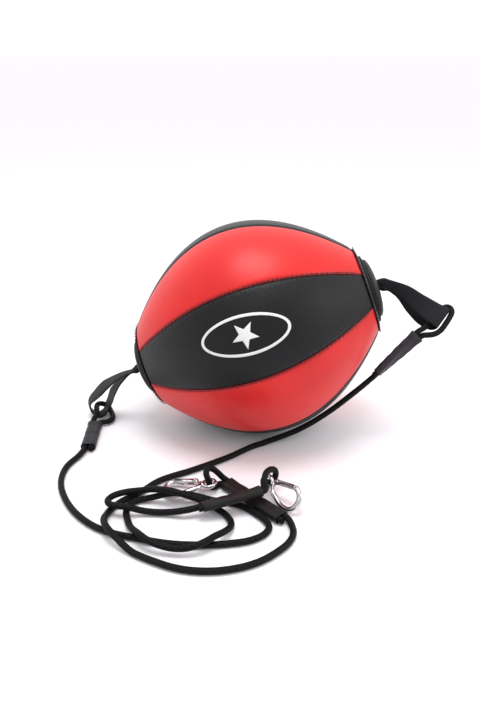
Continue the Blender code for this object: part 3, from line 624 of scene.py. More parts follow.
def cut_through(piece, cutter_bm):
    """Takes the cutter's shape out of the piece for good, and removes the cutter."""
    mesh = bpy.data.meshes.new("cutter")
    cutter_bm.to_mesh(mesh)
    cutter_bm.free()
    cutter = bpy.data.objects.new("cutter", mesh)
    bpy.context.scene.collection.objects.link(cutter)
    cut = piece.modifiers.new("cut", "BOOLEAN")
    cut.solver = "EXACT"
    cut.object = cutter
    bpy.context.view_layer.update()
    graph = bpy.context.evaluated_depsgraph_get()
    made = bpy.data.meshes.new_from_object(piece.evaluated_get(graph))
    piece.modifiers.clear()
    piece.data = made
    bpy.data.objects.remove(cutter)


cap_end("left")
cap_end("right")

# ---------------------------------------------------------------- hanging straps
# A 24 mm black nylon webbing band at each end, gathered to 10 mm where it passes through the boss.
# It is folded back on itself, and the cord's loop goes through the fold.

STRAP_WIDTH = 0.024
STRAP_SEAT = HALF_LENGTH + 0.0012
STRAP_LEAD = 0.0035
STRAP_STEP = 0.0012
STRAP_COLUMNS = 14
STRAP_CUP = 0.0009
GATHERED_BIGHT = 0.014
BUNCH_PLACE = 0.0178
BUNCH_REACH = 0.0036
BUNCH_THICKENING = 0.75
BUNCH_WIDENING = 0.0012
WIDENING_STARTS = 0.22
GATHER_STARTS = 0.62
GATHER_SPREAD = 0.3
RIB_PITCH = 0.0013
YARN_PITCH = 0.0011
HANDLE_SHARE = 0.36
CURVE_STEPS = 16


def from_millimetres(points):
    return [tuple(value / 1000 for value in point) for point in points]


LEFT_STRAP_ROUTE = from_millimetres(
    [
        (-140, 1.2, 50.5), (-154.5, 3, 40.5), (-169, 5.5, 26.5), (-176.5, 7, 15.5),
        (-175.2, 7.2, 6.5), (-169, 7.2, 2), (-162, 6.8, 4.8), (-157, 6, 14), (-149, 4, 31),
        (-138.5, 2, 46),
    ]
)
RIGHT_STRAP_ROUTE = from_millimetres(
    [
        (140, -6, 144.5), (156, -14, 134.5), (169, -22, 127.5), (176.5, -24.5, 123.5),
        (177.5, -20.5, 119.5), (173.5, -14, 116.5), (164, -8.5, 119.5), (154, -4.5, 127.5),
        (138.5, -0.4, 143),
    ]
)


def smooth_route(points, spacing, lowest=-1.0, easing=0):
    """Evenly spaced points on one smooth curve through the chosen points, kept at or above a height.

    Each easing pass rounds off what is sharper than the material would bend.
    """
    knots = [Vector(p) for p in points]
    runs = [(b - a).normalized() for a, b in zip(knots, knots[1:])]
    heading = [runs[0]] + [(a + b).normalized() for a, b in zip(runs, runs[1:])] + [runs[-1]]
    fine = [knots[0]]
    for i in range(len(knots) - 1):
        reach = (knots[i + 1] - knots[i]).length * HANDLE_SHARE
        a = knots[i] + heading[i] * reach
        b = knots[i + 1] - heading[i + 1] * reach
        fine += interpolate_bezier(knots[i], a, b, knots[i + 1], CURVE_STEPS)[1:]
    travelled = [0.0]
    for a, b in zip(fine, fine[1:]):
        travelled.append(travelled[-1] + (b - a).length)
    count = max(2, round(travelled[-1] / spacing))
    even, at = [], 0
    for i in range(count + 1):
        wanted = travelled[-1] * i / count
        while at < len(fine) - 2 and travelled[at + 1] < wanted:
            at += 1
        share = (wanted - travelled[at]) / (travelled[at + 1] - travelled[at])
        even.append(fine[at].lerp(fine[at + 1], share))
    for _ in range(easing):
        middles = [(a + b * 2 + c) / 4 for a, b, c in zip(even, even[1:], even[2:])]
        even = [even[0], *middles, even[-1]]
    for point in even:
        point.z = max(point.z, lowest)
    return even


def webbing_finish():
    """Ribs across the band and yarns along it, from the UV map in metres."""
    made, tree, shader = new_finish("nylon_webbing")
    uv = add_node(tree, "ShaderNodeTexCoord").outputs["UV"]
    parts = add_node(tree, "ShaderNodeSeparateXYZ", {0: uv})
    rib = maths(tree, "SINE", maths(tree, "MULTIPLY", parts.outputs[0], math.tau / RIB_PITCH))
    yarn = maths(tree, "SINE", maths(tree, "MULTIPLY", parts.outputs[1], math.tau / YARN_PITCH))
    weave = maths(tree, "MULTIPLY_ADD", maths(tree, "MULTIPLY", rib, yarn), 0.5, 0.5)
    bloom = place_group(tree, BLOOM, {"Vector": uv, "Scale": 40.0})
    tone = maths(tree, "MULTIPLY_ADD", weave, 0.45, maths(tree, "MULTIPLY", bloom.outputs[0], 0.5))
    paint(tree, shader, tone, (0.001, 0.001, 0.0015), (0.016, 0.015, 0.018))
    shader.inputs["Roughness"].default_value = 0.5
    shader.inputs["Specular IOR Level"].default_value = 0.15
    emboss(tree, shader, weave, 0.0003, 0.7)
    return made


WEBBING = webbing_finish()


def strap(side, route, across_root, across_bight, spread, bight_width=STRAP_WIDTH):
    """The band as one loft: a flat bar with round edges, bunched at the boss and cupped beyond it."""
    offset = (STRAP_THICKNESS + STRAP_CLEARANCE) / 2
    place = END_FRAMES[side]
    out = [place @ Vector((STRAP_SEAT, -offset, 0)), place @ Vector((BOSS_TOP + STRAP_LEAD, -offset, 0))]
    back = [place @ Vector((BOSS_TOP + STRAP_LEAD, offset, 0)), place @ Vector((STRAP_SEAT, offset, 0))]
    points = smooth_route([*out, *route, *back], STRAP_STEP)
    count = len(points)
    bm = bmesh.new()
    uv = bm.loops.layers.uv.new("UVMap")
    rings, marks = [], {}
    for i, point in enumerate(points):
        share = 1 - abs(2 * i / (count - 1) - 1)
        ease = min(1, max(0, (share - WIDENING_STARTS) / spread))
        gather = min(1, max(0, (share - GATHER_STARTS) / GATHER_SPREAD))
        gather = gather * gather * (3 - 2 * gather)
        full = STRAP_WIDTH + (bight_width - STRAP_WIDTH) * gather
        heading = (points[min(i + 1, count - 1)] - points[max(i - 1, 0)]).normalized()
        wide = Vector(across_root).lerp(Vector(across_bight), ease)
        wide = (wide - heading * wide.dot(heading)).normalized()
        thick = heading.cross(wide)
        half = (STRAP_ROOT_WIDTH + (full - STRAP_ROOT_WIDTH) * ease) / 2
        from_seat = min(i, count - 1 - i) * STRAP_STEP
        bunch = math.exp(-(((from_seat - BUNCH_PLACE) / BUNCH_REACH) ** 2))
        deep = STRAP_THICKNESS / 2 * (0.92 + BUNCH_THICKENING * bunch)
        half += BUNCH_WIDENING * bunch
        cup = STRAP_CUP * math.sin(math.pi * min(1, share * 1.15)) * ease
        ring = []
        for face in (1, -1):
            for k in range(STRAP_COLUMNS + 1):
                spot = (2 * k / STRAP_COLUMNS - 1) * face
                edge = deep * (1 - abs(spot) ** 8 * 0.75)
                fold = 0.0006 * bunch * math.cos(spot * 9) + cup * (spot**2 - 0.4)
                vert = bm.verts.new(point + wide * spot * half + thick * (edge * face + fold))
                marks[vert] = (i * STRAP_STEP, spot * half)
                ring.append(vert)
        rings.append(ring)
    for low, high in zip(rings, rings[1:]):
        for k in range(len(low)):
            j = (k + 1) % len(low)
            bm.faces.new((low[k], low[j], high[j], high[k]))
    bm.faces.new(rings[0])
    bm.faces.new(rings[-1])
    bmesh.ops.recalc_face_normals(bm, faces=bm.faces)
    for face in bm.faces:
        for loop in face.loops:
            loop[uv].uv = marks[loop.vert]
    return finished(f"{side}_strap", bm, WEBBING, "ball", f"hanging_strap_{side}")


left_strap = strap("left", LEFT_STRAP_ROUTE, (0, 1, 0), (-0.32, 0.95, 0.0), 0.4, GATHERED_BIGHT)
right_strap = strap(
    "right", RIGHT_STRAP_ROUTE, (math.sin(TILT), 0, -math.cos(TILT)), (-0.607, -0.58, -0.543), 0.7
)

# ---------------------------------------------------------------- cord sleeves
# A shrunk leather-grained sleeve holds each cord's turned-back end beside its standing part. It is
# pulled tight over the two strands, so it is waisted between them and flares at its mouths.

CORD_RADIUS = 0.0028
STRAND_OFFSET = CORD_RADIUS + 0.00025
SLEEVE_BORE = CORD_RADIUS + 0.0003
SLEEVE_WALL = 0.0009
SLEEVE_REST = SLEEVE_BORE + SLEEVE_WALL + 0.0003
SLEEVE_WAIST = 0.0007
SLEEVE_LIP = 0.0004


class Sleeve:
    """Two strands side by side from the mouth, at the loop, to the tail."""

    def __init__(self, mouth, tail, side, twist=0.0):
        self.mouth, self.tail = Vector(mouth), Vector(tail)
        self.heading = (self.tail - self.mouth).normalized()
        side = Vector(side)
        self.side = (side - self.heading * side.dot(self.heading)).normalized()
        self.twist = twist

    def across(self, share):
        return Matrix.Rotation(self.twist * share, 3, self.heading) @ self.side

    def strand(self, share, sign, beyond=0.0):
        middle = self.mouth.lerp(self.tail, share) + self.heading * beyond
        return middle + self.across(share) * STRAND_OFFSET * sign


SLEEVES = {
    "left_strap": Sleeve((-0.1668, -0.0190, SLEEVE_REST), (-0.1650, -0.0640, SLEEVE_REST), (-1, 0, 0)),
    "left_hook": Sleeve((0.0010, -0.1560, 0.0165), (-0.0480, -0.1700, 0.0100), (-0.23, 0.89, -0.4)),
    "right_strap": Sleeve((0.1533, -0.0300, 0.1075), (0.1163, -0.0360, 0.0708), (0.75, 0.1, -0.6), -0.9),
    "right_hook": Sleeve((-0.0285, -0.1270, SLEEVE_REST), (0.0175, -0.1765, SLEEVE_REST), (0.74, 0.67, 0)),
}


def sleeve_finish(name, deep, face):
    """Trim leather with the lumps of a shrunk sleeve."""
    made, tree, shader, bloom, grained = trim_leather(name, deep, face, 700.0, 90.0, 0.3, 0.2)
    emboss(tree, shader, bloom.outputs[1], 0.001, 0.6, grained)
    return made


SLEEVE_LEATHERS = {
    # The strap sleeves' lighter purple-grey tone is a painted sheen on the same black leather as the hook
    # sleeves.
    "strap": sleeve_finish("sleeve_painted_sheen", (0.006, 0.004, 0.007), (0.034, 0.027, 0.038)),
    "hook": sleeve_finish("black_sleeve", (0.001, 0.001, 0.001), (0.010, 0.009, 0.010)),
}


def sleeve_ring(bm, sleeve, share, grow, waist):
    """One waisted ring of the sleeve, from a circle pulled out over the two strands."""
    wide = sleeve.across(share)
    high = sleeve.heading.cross(wide)
    ring = bmesh.ops.create_circle(bm, segments=32, radius=1)["verts"]
    for vert in ring:
        x, y, _ = vert.co
        reach = SLEEVE_BORE + grow
        over = math.copysign(min(1.0, abs(x) * 3.0), x) * STRAND_OFFSET
        pinch = 1 - waist * math.exp(-((x / 0.3) ** 2)) / reach
        middle = sleeve.mouth.lerp(sleeve.tail, share)
        vert.co = middle + wide * (over + x * reach) + high * y * reach * pinch
    return ring


def dress_sleeve(name, sleeve):
    bm = bmesh.new()
    length = (sleeve.tail - sleeve.mouth).length
    loops = []
    steps = 26
    for k in range(steps + 1):
        share = k / steps
        near_end = min(share, 1 - share) * length
        lip = SLEEVE_LIP * math.exp(-((near_end / 0.0022) ** 2))
        ripple = 0.00015 * math.sin(share * 31) + 0.0001 * math.sin(share * 17 + 1)
        loops.append(sleeve_ring(bm, sleeve, share, SLEEVE_WALL + lip + ripple, SLEEVE_WAIST))
    inside = [sleeve_ring(bm, sleeve, share, 0.00005, 0.0) for share in (1.0, 0.5, 0.0)]
    chain = loops + inside
    for low, high in zip(chain, chain[1:] + chain[:1]):
        edges = {e for v in low for e in v.link_edges if e.other_vert(v) in low}
        edges |= {e for v in high for e in v.link_edges if e.other_vert(v) in high}
        bmesh.ops.bridge_loops(bm, edges=list(edges))
    bmesh.ops.recalc_face_normals(bm, faces=bm.faces)
    leather = SLEEVE_LEATHERS[name.split("_")[1]]
    piece = finished(f"{name}_sleeve", bm, leather, "ball", f"sleeve_{name}")
    return piece


for name, sleeve in SLEEVES.items():
    dress_sleeve(name, sleeve)

# ---------------------------------------------------------------- elastic cords
# 5.6 mm rubber-cored cord with a braided black cover. Each runs from its strap's eye, through a
# sleeve, across the floor, through the second sleeve and round the hook's eye to its cut tail.

FLOOR_CORD = CORD_RADIUS + 0.0001
TAIL = 0.004
LEAD = 0.0025
RUN_LEAD = 0.004
CORD_STEP = 0.0018
CORD_EASING = 3
LEFT_STRAP_LOOP = from_millimetres(
    [
        (-159, -14.5, 4.3), (-153, -12, 4.3), (-150.5, -6, 4.3), (-152, 1.5, 4.3), (-155, 8.5, 4.5),
        (-158, 15, 6), (-163.5, 18.5, 8.3), (-169, 16.5, 9.8), (-170, 9.5, 9.8), (-168.5, 1.5, 9.2),
        (-167.2, -6, 8.4), (-169.2, -12.5, 6.2),
    ]
)
RIGHT_STRAP_LOOP = from_millimetres(
    [
        (160.5, -25.8, 114), (166.5, -22.5, 117.5), (172.2, -17, 122), (178.5, -11.2, 127.2),
        (184.6, -9.8, 129.8), (188.4, -14.2, 127.2), (185.4, -19.2, 122.2), (180.1, -24.7, 116.8),
        (174, -29.9, 111.6), (167, -31.8, 109),
    ]
)
RIGHT_HOOK_LOOP = from_millimetres(
    [
        (-35, -126, 3.8), (-38, -128.4, 3), (-40.2, -131.2, 3), (-43, -132.6, 4.8),
        (-44.2, -133, 8.5), (-45, -132.8, 12.8), (-46.8, -131.2, 16.5), (-46.6, -126.6, 19),
        (-42.5, -123.2, 18), (-37.5, -121.6, 13), (-32.8, -121.2, 7.2),
    ]
)
LEFT_HOOK_LOOP = from_millimetres(
    [
        (5, -153, 17.6), (4, -145, 18), (3.4, -137, 14.1), (6.6, -134.5, 11.2), (10, -132, 8.2),
        (13.5, -129.2, 11), (14.8, -128.2, 17), (12.8, -129.8, 21.2), (8.5, -134, 23),
        (5, -141, 23.5), (3.5, -149, 20),
    ]
)
RIGHT_CORD_ROUTE = from_millimetres(
    [
        (91.5, -42.5, 50), (66.3, -45.5, 30), (40, -48, 14), (5.7, -54.7, 3), (-30.3, -82.4, 3),
        (-60.6, -103, 3), (-90, -120.7, 3), (-105.1, -139.2, 3), (-115.6, -148.7, 3),
        (-124, -158.9, 3), (-128.5, -170.1, 3), (-128.5, -183, 7.5), (-123.2, -197.5, 10.2),
        (-115, -206.5, 8), (-100.6, -218.5, 3), (-83.1, -228.9, 3), (-62.7, -237.5, 3),
        (-43.1, -240.2, 3), (-23.7, -238, 3), (-4.4, -230.8, 3), (13.3, -216.9, 3), (22.5, -205.5, 3),
        (26.2, -194, 3), (25.6, -186.8, 3.2),
    ]
)
LEFT_CORD_ROUTE = from_millimetres(
    [
        (-171.5, -80, 3.5), (-177.5, -93, 3), (-179.5, -109, 3), (-177, -126.5, 3),
        (-170.2, -144.3, 3), (-159.1, -163.1, 3), (-145.9, -178.2, 3), (-133, -188.5, 3),
        (-119.9, -195.2, 3), (-101.5, -200.9, 3), (-74.4, -208, 3), (-48.4, -210, 3),
        (-21.7, -207.7, 3), (-6.7, -203.4, 3), (3.9, -195.2, 3), (7, -187, 3), (4.3, -179.6, 3),
        (-4.3, -168.7, 3), (-14.6, -159.5, 3), (-27.3, -153.1, 3), (-40, -150.5, 3), (-52, -149.5, 6),
        (-64, -149.5, 9), (-77.3, -149, 9), (-93.7, -149.5, 5), (-105.9, -151, 3),
        (-111.7, -157.4, 3), (-113, -165.9, 3), (-110.3, -176.6, 3), (-106, -189, 4.5),
        (-98.5, -203, 9.8), (-88, -213, 9.5), (-74.5, -217.5, 7), (-59, -219, 7), (-45, -215, 9.5),
        (-37, -208, 9.8), (-28.5, -197.5, 6.8), (-24, -186, 4), (-26.5, -175, 3), (-35.1, -164, 3),
        (-47, -157, 6), (-60.5, -156, 11), (-74, -155, 15.5), (-89, -150, 14), (-104.8, -145.5, 9.6),
        (-117.7, -148.5, 9.6), (-127.5, -155.5, 9.6), (-129, -162.5, 9.6), (-122.5, -167.2, 9.6),
        (-112.5, -169, 9.6), (-97, -168, 4.5), (-79, -169, 4), (-62, -171, 7.5),
    ]
)


def braid_group():
    """Strands wound both ways round a cord, from a UV map of metres along it and turns round it."""
    group, given, gives = new_group(
        "cord_braid",
        {
            "UV": ("NodeSocketVector", None),
            "Pitch": ("NodeSocketFloat", 0.0052),
            "Carriers": ("NodeSocketFloat", 6.0),
        },
        ["Height"],
    )
    parts = add_node(group, "ShaderNodeSeparateXYZ", {0: given.outputs[0]})
    along = maths(group, "DIVIDE", parts.outputs[0], given.outputs[1])
    strands = []
    for sense in (1.0, -1.0):
        turn = maths(group, "MULTIPLY", parts.outputs[1], given.outputs[2])
        turn = maths(group, "MULTIPLY_ADD", turn, sense, along)
        strands.append(maths(group, "SINE", maths(group, "MULTIPLY", turn, math.tau)))
    over = maths(group, "MAXIMUM", strands[0], strands[1])
    group.links.new(maths(group, "MULTIPLY_ADD", over, 0.5, 0.5), gives.inputs[0])
    return group


BRAID = braid_group()


def braid_finish():
    made, tree, shader = new_finish("braided_cord")
    uv = add_node(tree, "ShaderNodeTexCoord").outputs["UV"]
    braid = place_group(tree, BRAID, {"UV": uv})
    bloom = place_group(tree, BLOOM, {"Vector": uv, "Scale": 60.0})
    dust = maths(tree, "MULTIPLY", bloom.outputs[0], 0.3)
    tone = maths(tree, "MULTIPLY_ADD", braid.outputs[0], 0.6, dust)
    paint(tree, shader, tone, (0.0005, 0.0005, 0.0005), (0.009, 0.009, 0.010))
    shader.inputs["Roughness"].default_value = 0.55
    shader.inputs["Specular IOR Level"].default_value = 0.12
    emboss(tree, shader, braid.outputs[0], 0.0004, 0.8)
    return made


BRAIDED = braid_finish()


def tube(points, radius, rounds=4, closed=False, taper=()):
    """A round bar along a route, with a UV map of metres along it and turns round it."""
    curve = bpy.data.curves.new("tube", "CURVE")
    curve.dimensions = "3D"
    curve.bevel_depth = radius
    curve.bevel_resolution = rounds
    curve.use_fill_caps = not closed
    spline = curve.splines.new("POLY")
    spline.points.add(len(points) - 1)
    spline.use_cyclic_u = closed
    for i, point in enumerate(points):
        spline.points[i].co = (*point, 1)
        if i < len(taper):
            spline.points[i].radius = taper[i]
    maker = bpy.data.objects.new("tube", curve)
    bpy.context.scene.collection.objects.link(maker)
    bpy.context.view_layer.update()
    mesh = bpy.data.meshes.new_from_object(maker.evaluated_get(bpy.context.evaluated_depsgraph_get()))
    bpy.data.objects.remove(maker)
    length = sum((b - a).length for a, b in zip(points, points[1:]))
    bm = bmesh.new()
    bm.from_mesh(mesh)
    bmesh.ops.remove_doubles(bm, verts=bm.verts, dist=0.00001)
    uv = bm.loops.layers.uv.verify()
    for face in bm.faces:
        for loop in face.loops:
            loop[uv].uv = (loop[uv].uv.x * length, loop[uv].uv.y)
    bmesh.ops.recalc_face_normals(bm, faces=bm.faces)
    return bm, length


def lay_cord(name, points, stands_for=()):
    bm, length = tube(points, CORD_RADIUS)
    piece = finished(name, bm, BRAIDED, "ball", *stands_for)
    return piece, length


def sleeve_way(sleeve, sign, shares):
    return [sleeve.strand(share, sign) for share in shares]


def cord_set(side, strap_loop, apex, run, hook_loop):
    """The whole cord from the strap's eye to the tail at the hook, and the short return at the strap."""
    strap_sleeve, hook_sleeve = SLEEVES[f"{side}_strap"], SLEEVES[f"{side}_hook"]
    inward, outward = (0, 0.25, 0.5, 0.75, 1), (1, 0.75, 0.5, 0.25, 0)
    knots = list(strap_loop[apex:])
    knots += [strap_sleeve.strand(0, 1, -LEAD), *sleeve_way(strap_sleeve, 1, inward)]
    knots += [strap_sleeve.strand(1, 1, RUN_LEAD), *run, hook_sleeve.strand(1, 1, RUN_LEAD)]
    knots += [*sleeve_way(hook_sleeve, 1, outward), hook_sleeve.strand(0, 1, -LEAD)]
    knots += [*reversed(hook_loop), hook_sleeve.strand(0, -1, -LEAD)]
    knots += [*sleeve_way(hook_sleeve, -1, inward), hook_sleeve.strand(1, -1, TAIL)]
    points = smooth_route(knots, CORD_STEP, FLOOR_CORD, CORD_EASING)
    stands_for = [f"cord_{side}", f"cord_{side}_strap_loop", f"cord_{side}_hook_loop"]
    main, length = lay_cord(f"{side}_cord", points, stands_for)

    near = smooth_route(
        [
            *strap_loop[: apex + 1][::-1],
            strap_sleeve.strand(0, -1, -LEAD),
            *sleeve_way(strap_sleeve, -1, inward),
            strap_sleeve.strand(1, -1, TAIL),
        ],
        CORD_STEP,
        FLOOR_CORD,
        CORD_EASING,
    )
    back, _ = lay_cord(f"{side}_cord_return", near[1:])
    return main, points, length, back


CORD_SETS = {
    "left": cord_set("left", LEFT_STRAP_LOOP, 8, LEFT_CORD_ROUTE, LEFT_HOOK_LOOP),
    "right": cord_set("right", RIGHT_STRAP_LOOP, 3, RIGHT_CORD_ROUTE, RIGHT_HOOK_LOOP),
}

# ---------------------------------------------------------------- snap hooks
# A bent and plated 5 mm steel wire with a welded eye. A pressed channel gate turns on a rivet
# through the wire's flattened end, and a small coil spring inside it keeps it on the nose.

WIRE_RADIUS = 0.0025
EYE_WIRE_RADIUS = 0.0018
EYE_RADIUS = 0.0054
HOOK_LENGTH = 0.043
HOOK_WIDTH = 0.020
PIVOT_X = 0.0115
PIVOT_Y = 0.0052
TONGUE_RADIUS = 0.0026
TONGUE_THICKNESS = 0.0018
GATE_WIDTH = 0.0046
GATE_DEPTH = 0.0048
RIVET_RADIUS = 0.0009
RIVET_HEAD_RADIUS = 0.0017
RIVET_HEAD_HEIGHT = 0.0005
RUNNING_GAP = 0.0003
SPRING_WIRE = 0.00022
SPRING_TURNS = 3
SPRING_LENGTH = 0.0034
HOOK_PLACES = {
    "right": Matrix.Translation((-0.0442, -0.1330, 0.0085))
    @ Matrix.Rotation(math.radians(184), 4, "Z")
    @ Matrix.Rotation(math.radians(7.4), 4, "Y")
    @ Matrix.Rotation(math.pi, 4, "X"),
    "left": Matrix.Translation((0.0066, -0.1345, 0.0112))
    @ Matrix.Rotation(math.radians(-52.3), 4, "Z")
    @ Matrix.Rotation(math.radians(55), 4, "X"),
}


def plated_finish():
    made, tree, shader = new_finish("plated_steel")
    place = object_place(tree)
    bloom = place_group(tree, BLOOM, {"Vector": place, "Scale": 120.0})
    paint(tree, shader, bloom.outputs[0], (0.46, 0.44, 0.46), (0.74, 0.72, 0.73))
    shader.inputs["Metallic"].default_value = 1.0
    roughen(tree, shader, bloom.outputs[1], 0.16, 0.10)
    emboss(tree, shader, bloom.outputs[1], 0.0002, 0.2)
    return made


PLATED = plated_finish()


def joined(place, *parts):
    """Several closed shapes of one welded piece, put in place together."""
    whole = bmesh.new()
    for bm in parts:
        mesh = bpy.data.meshes.new("joined")
        bm.to_mesh(mesh)
        bm.free()
        whole.from_mesh(mesh)
        bpy.data.meshes.remove(mesh)
    bmesh.ops.transform(whole, matrix=place, verts=whole.verts)
    return whole


def soft_block(size, centre, edge):
    """A block with its edges rolled over."""
    bm = bmesh.new()
    place = Matrix.Translation(centre) @ Matrix.Diagonal((*size, 1))
    bmesh.ops.create_cube(bm, size=1, matrix=place)
    bmesh.ops.bevel(
        bm, geom=bm.edges, offset=edge, segments=3, profile=0.5, affect="EDGES", material=-1
    )
    return bm


def hook_wire(gate_place, gate_length):
    """The bent wire's centre line, from beside the tongue round the bow to the cut nose."""
    half = HOOK_WIDTH / 2
    bow = HOOK_LENGTH - WIRE_RADIUS - half
    corners = [
        (PIVOT_X, PIVOT_Y - 0.0002, 0),
        (PIVOT_X - 0.0028, PIVOT_Y - 0.0024, 0),
        (PIVOT_X - 0.0034, 0, 0),
        (PIVOT_X - 0.0010, -0.0040, 0),
        (PIVOT_X + 0.0060, -0.0072, 0),
        (bow - 0.0060, -half + 0.0002, 0),
    ]
    for i in range(7):
        turn = math.radians(-90 + 29 * i)
        corners.append((bow + half * math.cos(turn), half * math.sin(turn), 0))
    centre = Vector((PIVOT_X, PIVOT_Y, 0))
    line = []
    for point in smooth_route(corners, 0.0007):
        in_gate = gate_place.inverted() @ point
        past_nose = point.y > 0.004 and point.x > 0.02 and in_gate.x < gate_length + 0.0004
        if (point - centre).length > TONGUE_RADIUS + 0.0009 and not past_nose:
            line.append(point)
    return line


def make_hook(side):
    place = HOOK_PLACES[side]
    pivot = Matrix.Translation((PIVOT_X, PIVOT_Y, 0))
    nose = Vector((HOOK_LENGTH - WIRE_RADIUS - HOOK_WIDTH / 2, HOOK_WIDTH / 2 - 0.0002, 0))
    run = nose - Vector((PIVOT_X, PIVOT_Y, 0))
    gate_length = run.length + 0.0010
    gate_place = pivot @ Matrix.Rotation(math.atan2(run.y, run.x), 4, "Z")

    line = hook_wire(gate_place, gate_length)
    taper = [0.62 + 0.38 * min(1, i / 5) for i in range(6)]
    wire, _ = tube(line, WIRE_RADIUS, 7, taper=taper)
    turns = [math.tau * i / 48 for i in range(48)]
    round_eye = [Vector((EYE_RADIUS * math.cos(t), EYE_RADIUS * math.sin(t), 0)) for t in turns]
    eye, _ = tube(round_eye, EYE_WIRE_RADIUS, 6, True)
    weld = bmesh.new()
    seat = Matrix.Translation((EYE_RADIUS + 0.0008, 0, 0)) @ Matrix.Diagonal((0.0020, 0.0030, 0.0021, 1))
    bmesh.ops.create_uvsphere(weld, u_segments=24, v_segments=14, radius=1, matrix=seat)
    flat = TONGUE_THICKNESS / 2
    to_pivot = pivot @ Matrix.Rotation(-math.pi / 2, 4, "Y")
    disc = [(-flat, 0), (-flat, TONGUE_RADIUS - 0.0003), (-flat + 0.0003, TONGUE_RADIUS)]
    disc += [(flat - 0.0003, TONGUE_RADIUS), (flat, TONGUE_RADIUS - 0.0003), (flat, 0)]
    neck_size = (0.0050, 0.0038, TONGUE_THICKNESS * 0.8)
    neck = soft_block(neck_size, (PIVOT_X - 0.0030, PIVOT_Y - 0.0024, 0), 0.0004)
    body = finished(
        f"{side}_hook_wire",
        joined(place, wire, eye, weld, lathe(disc, to_pivot, 40), neck),
        PLATED,
        f"{side}_hook",
        f"{side}_hook_body",
    )

    shank = bmesh.new()
    rim = bmesh.ops.create_circle(shank, segments=40, radius=GATE_WIDTH / 2, cap_ends=True)["verts"]
    for vert in rim:
        if vert.co.x > 0.0001:
            vert.co.x = gate_length - 0.0007 * (1 - vert.co.x / (GATE_WIDTH / 2)) ** 2
    bmesh.ops.translate(shank, vec=(0, 0, -GATE_DEPTH / 2), verts=shank.verts)
    grown = bmesh.ops.extrude_face_region(shank, geom=list(shank.faces))["geom"]
    top = [item for item in grown if isinstance(item, bmesh.types.BMVert)]
    bmesh.ops.translate(shank, vec=(0, 0, GATE_DEPTH), verts=top)
    bmesh.ops.recalc_face_normals(shank, faces=shank.faces)
    rims = [edge for edge in shank.edges if abs(edge.verts[0].co.z - edge.verts[1].co.z) < 0.0001]
    bmesh.ops.bevel(
        shank, geom=rims, offset=0.0005, segments=3, profile=0.5, affect="EDGES", material=-1
    )
    gate = finished(
        f"{side}_gate", joined(place @ gate_place, shank), PLATED, f"{side}_gate", f"{side}_hook_gate"
    )
    slot_length = TONGUE_RADIUS + SPRING_LENGTH + 3 * RUNNING_GAP
    slot_size = (slot_length + 0.006, 0.02, TONGUE_THICKNESS + 2 * RUNNING_GAP)
    slot = soft_block(slot_size, (slot_length / 2 - 0.003, 0, 0), 0.0002)
    cut_through(gate, joined(place @ gate_place, slot))

    top_of_head = GATE_DEPTH / 2 + RUNNING_GAP + RIVET_HEAD_HEIGHT
    under_head = top_of_head - RIVET_HEAD_HEIGHT
    head = [(top_of_head, 0), (top_of_head - 0.00006, 0.0008), (top_of_head - 0.0002, 0.0014)]
    head += [(top_of_head - 0.0004, RIVET_HEAD_RADIUS)]
    head += [(under_head, RIVET_HEAD_RADIUS), (under_head, RIVET_RADIUS)]
    pin = [(-height, radius) for height, radius in head] + head[::-1]
    rivet = finished(
        f"{side}_rivet", lathe(pin, place @ to_pivot, 32), PLATED, f"{side}_hook", f"{side}_hook_rivet"
    )

    coil = []
    around = TONGUE_THICKNESS / 2 - SPRING_WIRE
    steps = 20 * SPRING_TURNS
    for i in range(steps + 1):
        turn = math.tau * i / 20
        along = TONGUE_RADIUS + RUNNING_GAP * 2 + SPRING_WIRE + SPRING_LENGTH * 0.8 * i / steps
        coil.append(Vector((along, around * math.cos(turn), around * math.sin(turn))))
    wound, _ = tube(coil, SPRING_WIRE, 2)
    spring = finished(
        f"{side}_spring", joined(place @ gate_place, wound), PLATED, f"{side}_gate", f"{side}_gate_spring"
    )
    return [body, gate, rivet, spring]


for side, (main, points, length, back) in CORD_SETS.items():
    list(make_hook(side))

# ---------------------------------------------------------------- floor, light and camera
# A flat pale paper floor under broad soft lights, in a white surround that is dimmer on the near
# side. The camera stands in front of the ball and a little above it.

NEAR_SIDE_LIGHT = 0.7
FAR_SIDE_LIGHT = 1.25


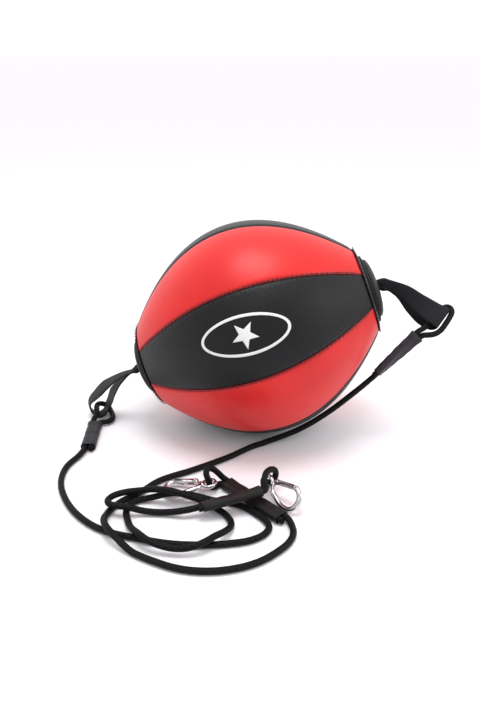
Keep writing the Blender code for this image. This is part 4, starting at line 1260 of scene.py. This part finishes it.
def paper_finish():
    made, tree, shader = new_finish("paper_sweep")
    place = object_place(tree)
    bloom = place_group(tree, BLOOM, {"Vector": place, "Scale": 8.0})
    paint(tree, shader, bloom.outputs[1], (0.90, 0.885, 0.91), (0.93, 0.915, 0.94))
    shader.inputs["Roughness"].default_value = 0.6
    return made


sweep = bmesh.new()
bmesh.ops.create_grid(sweep, x_segments=2, y_segments=2, size=40)
sweep_mesh = bpy.data.meshes.new("paper_sweep")
sweep.to_mesh(sweep_mesh)
sweep.free()
sweep_mesh.materials.append(paper_finish())
sweep_piece = bpy.data.objects.new("paper_sweep", sweep_mesh)
bpy.context.scene.collection.objects.link(sweep_piece)

world = bpy.data.worlds.new("studio")
world.use_nodes = True
air = world.node_tree
way = add_node(air, "ShaderNodeSeparateXYZ", {0: add_node(air, "ShaderNodeTexCoord").outputs["Generated"]})
far = add_node(
    air, "ShaderNodeMapRange", {0: way.outputs[1], 1: -0.9, 2: 0.5, 3: NEAR_SIDE_LIGHT, 4: FAR_SIDE_LIGHT}
)
air.nodes["Background"].inputs[0].default_value = (1.0, 0.985, 1.0, 1)
feed(air, air.nodes["Background"].inputs[1], far.outputs[0])
bpy.context.scene.world = world


def soft_box(name, place, aim, width, height, power):
    lamp = bpy.data.lights.new(name, "AREA")
    lamp.shape = "RECTANGLE"
    lamp.size = width
    lamp.size_y = height
    lamp.energy = power
    held = bpy.data.objects.new(name, lamp)
    bpy.context.scene.collection.objects.link(held)
    held.location = place
    held.rotation_euler = (Vector(aim) - Vector(place)).to_track_quat("-Z", "Y").to_euler()


soft_box("overhead_box", (-0.05, -0.1, 1.2), (0, 0, 0), 0.6, 0.5, 7.5)
soft_box("front_box", (-0.3, -1.3, 1.1), (0, 0, 0.08), 0.6, 0.6, 1.5)
soft_box("right_box", (1.3, -0.4, 0.8), (0, 0, 0.08), 0.5, 0.7, 4.5)
bpy.context.scene.view_settings.view_transform = "Standard"

lens = bpy.data.cameras.new("camera")
lens.lens = 35.0
lens.sensor_width = 36.0
camera = bpy.data.objects.new("camera", lens)
camera.location = (-0.017, -0.6529, 0.3591)
camera.rotation_euler = (math.radians(66), 0, 0)
bpy.context.scene.collection.objects.link(camera)
bpy.context.scene.camera = camera
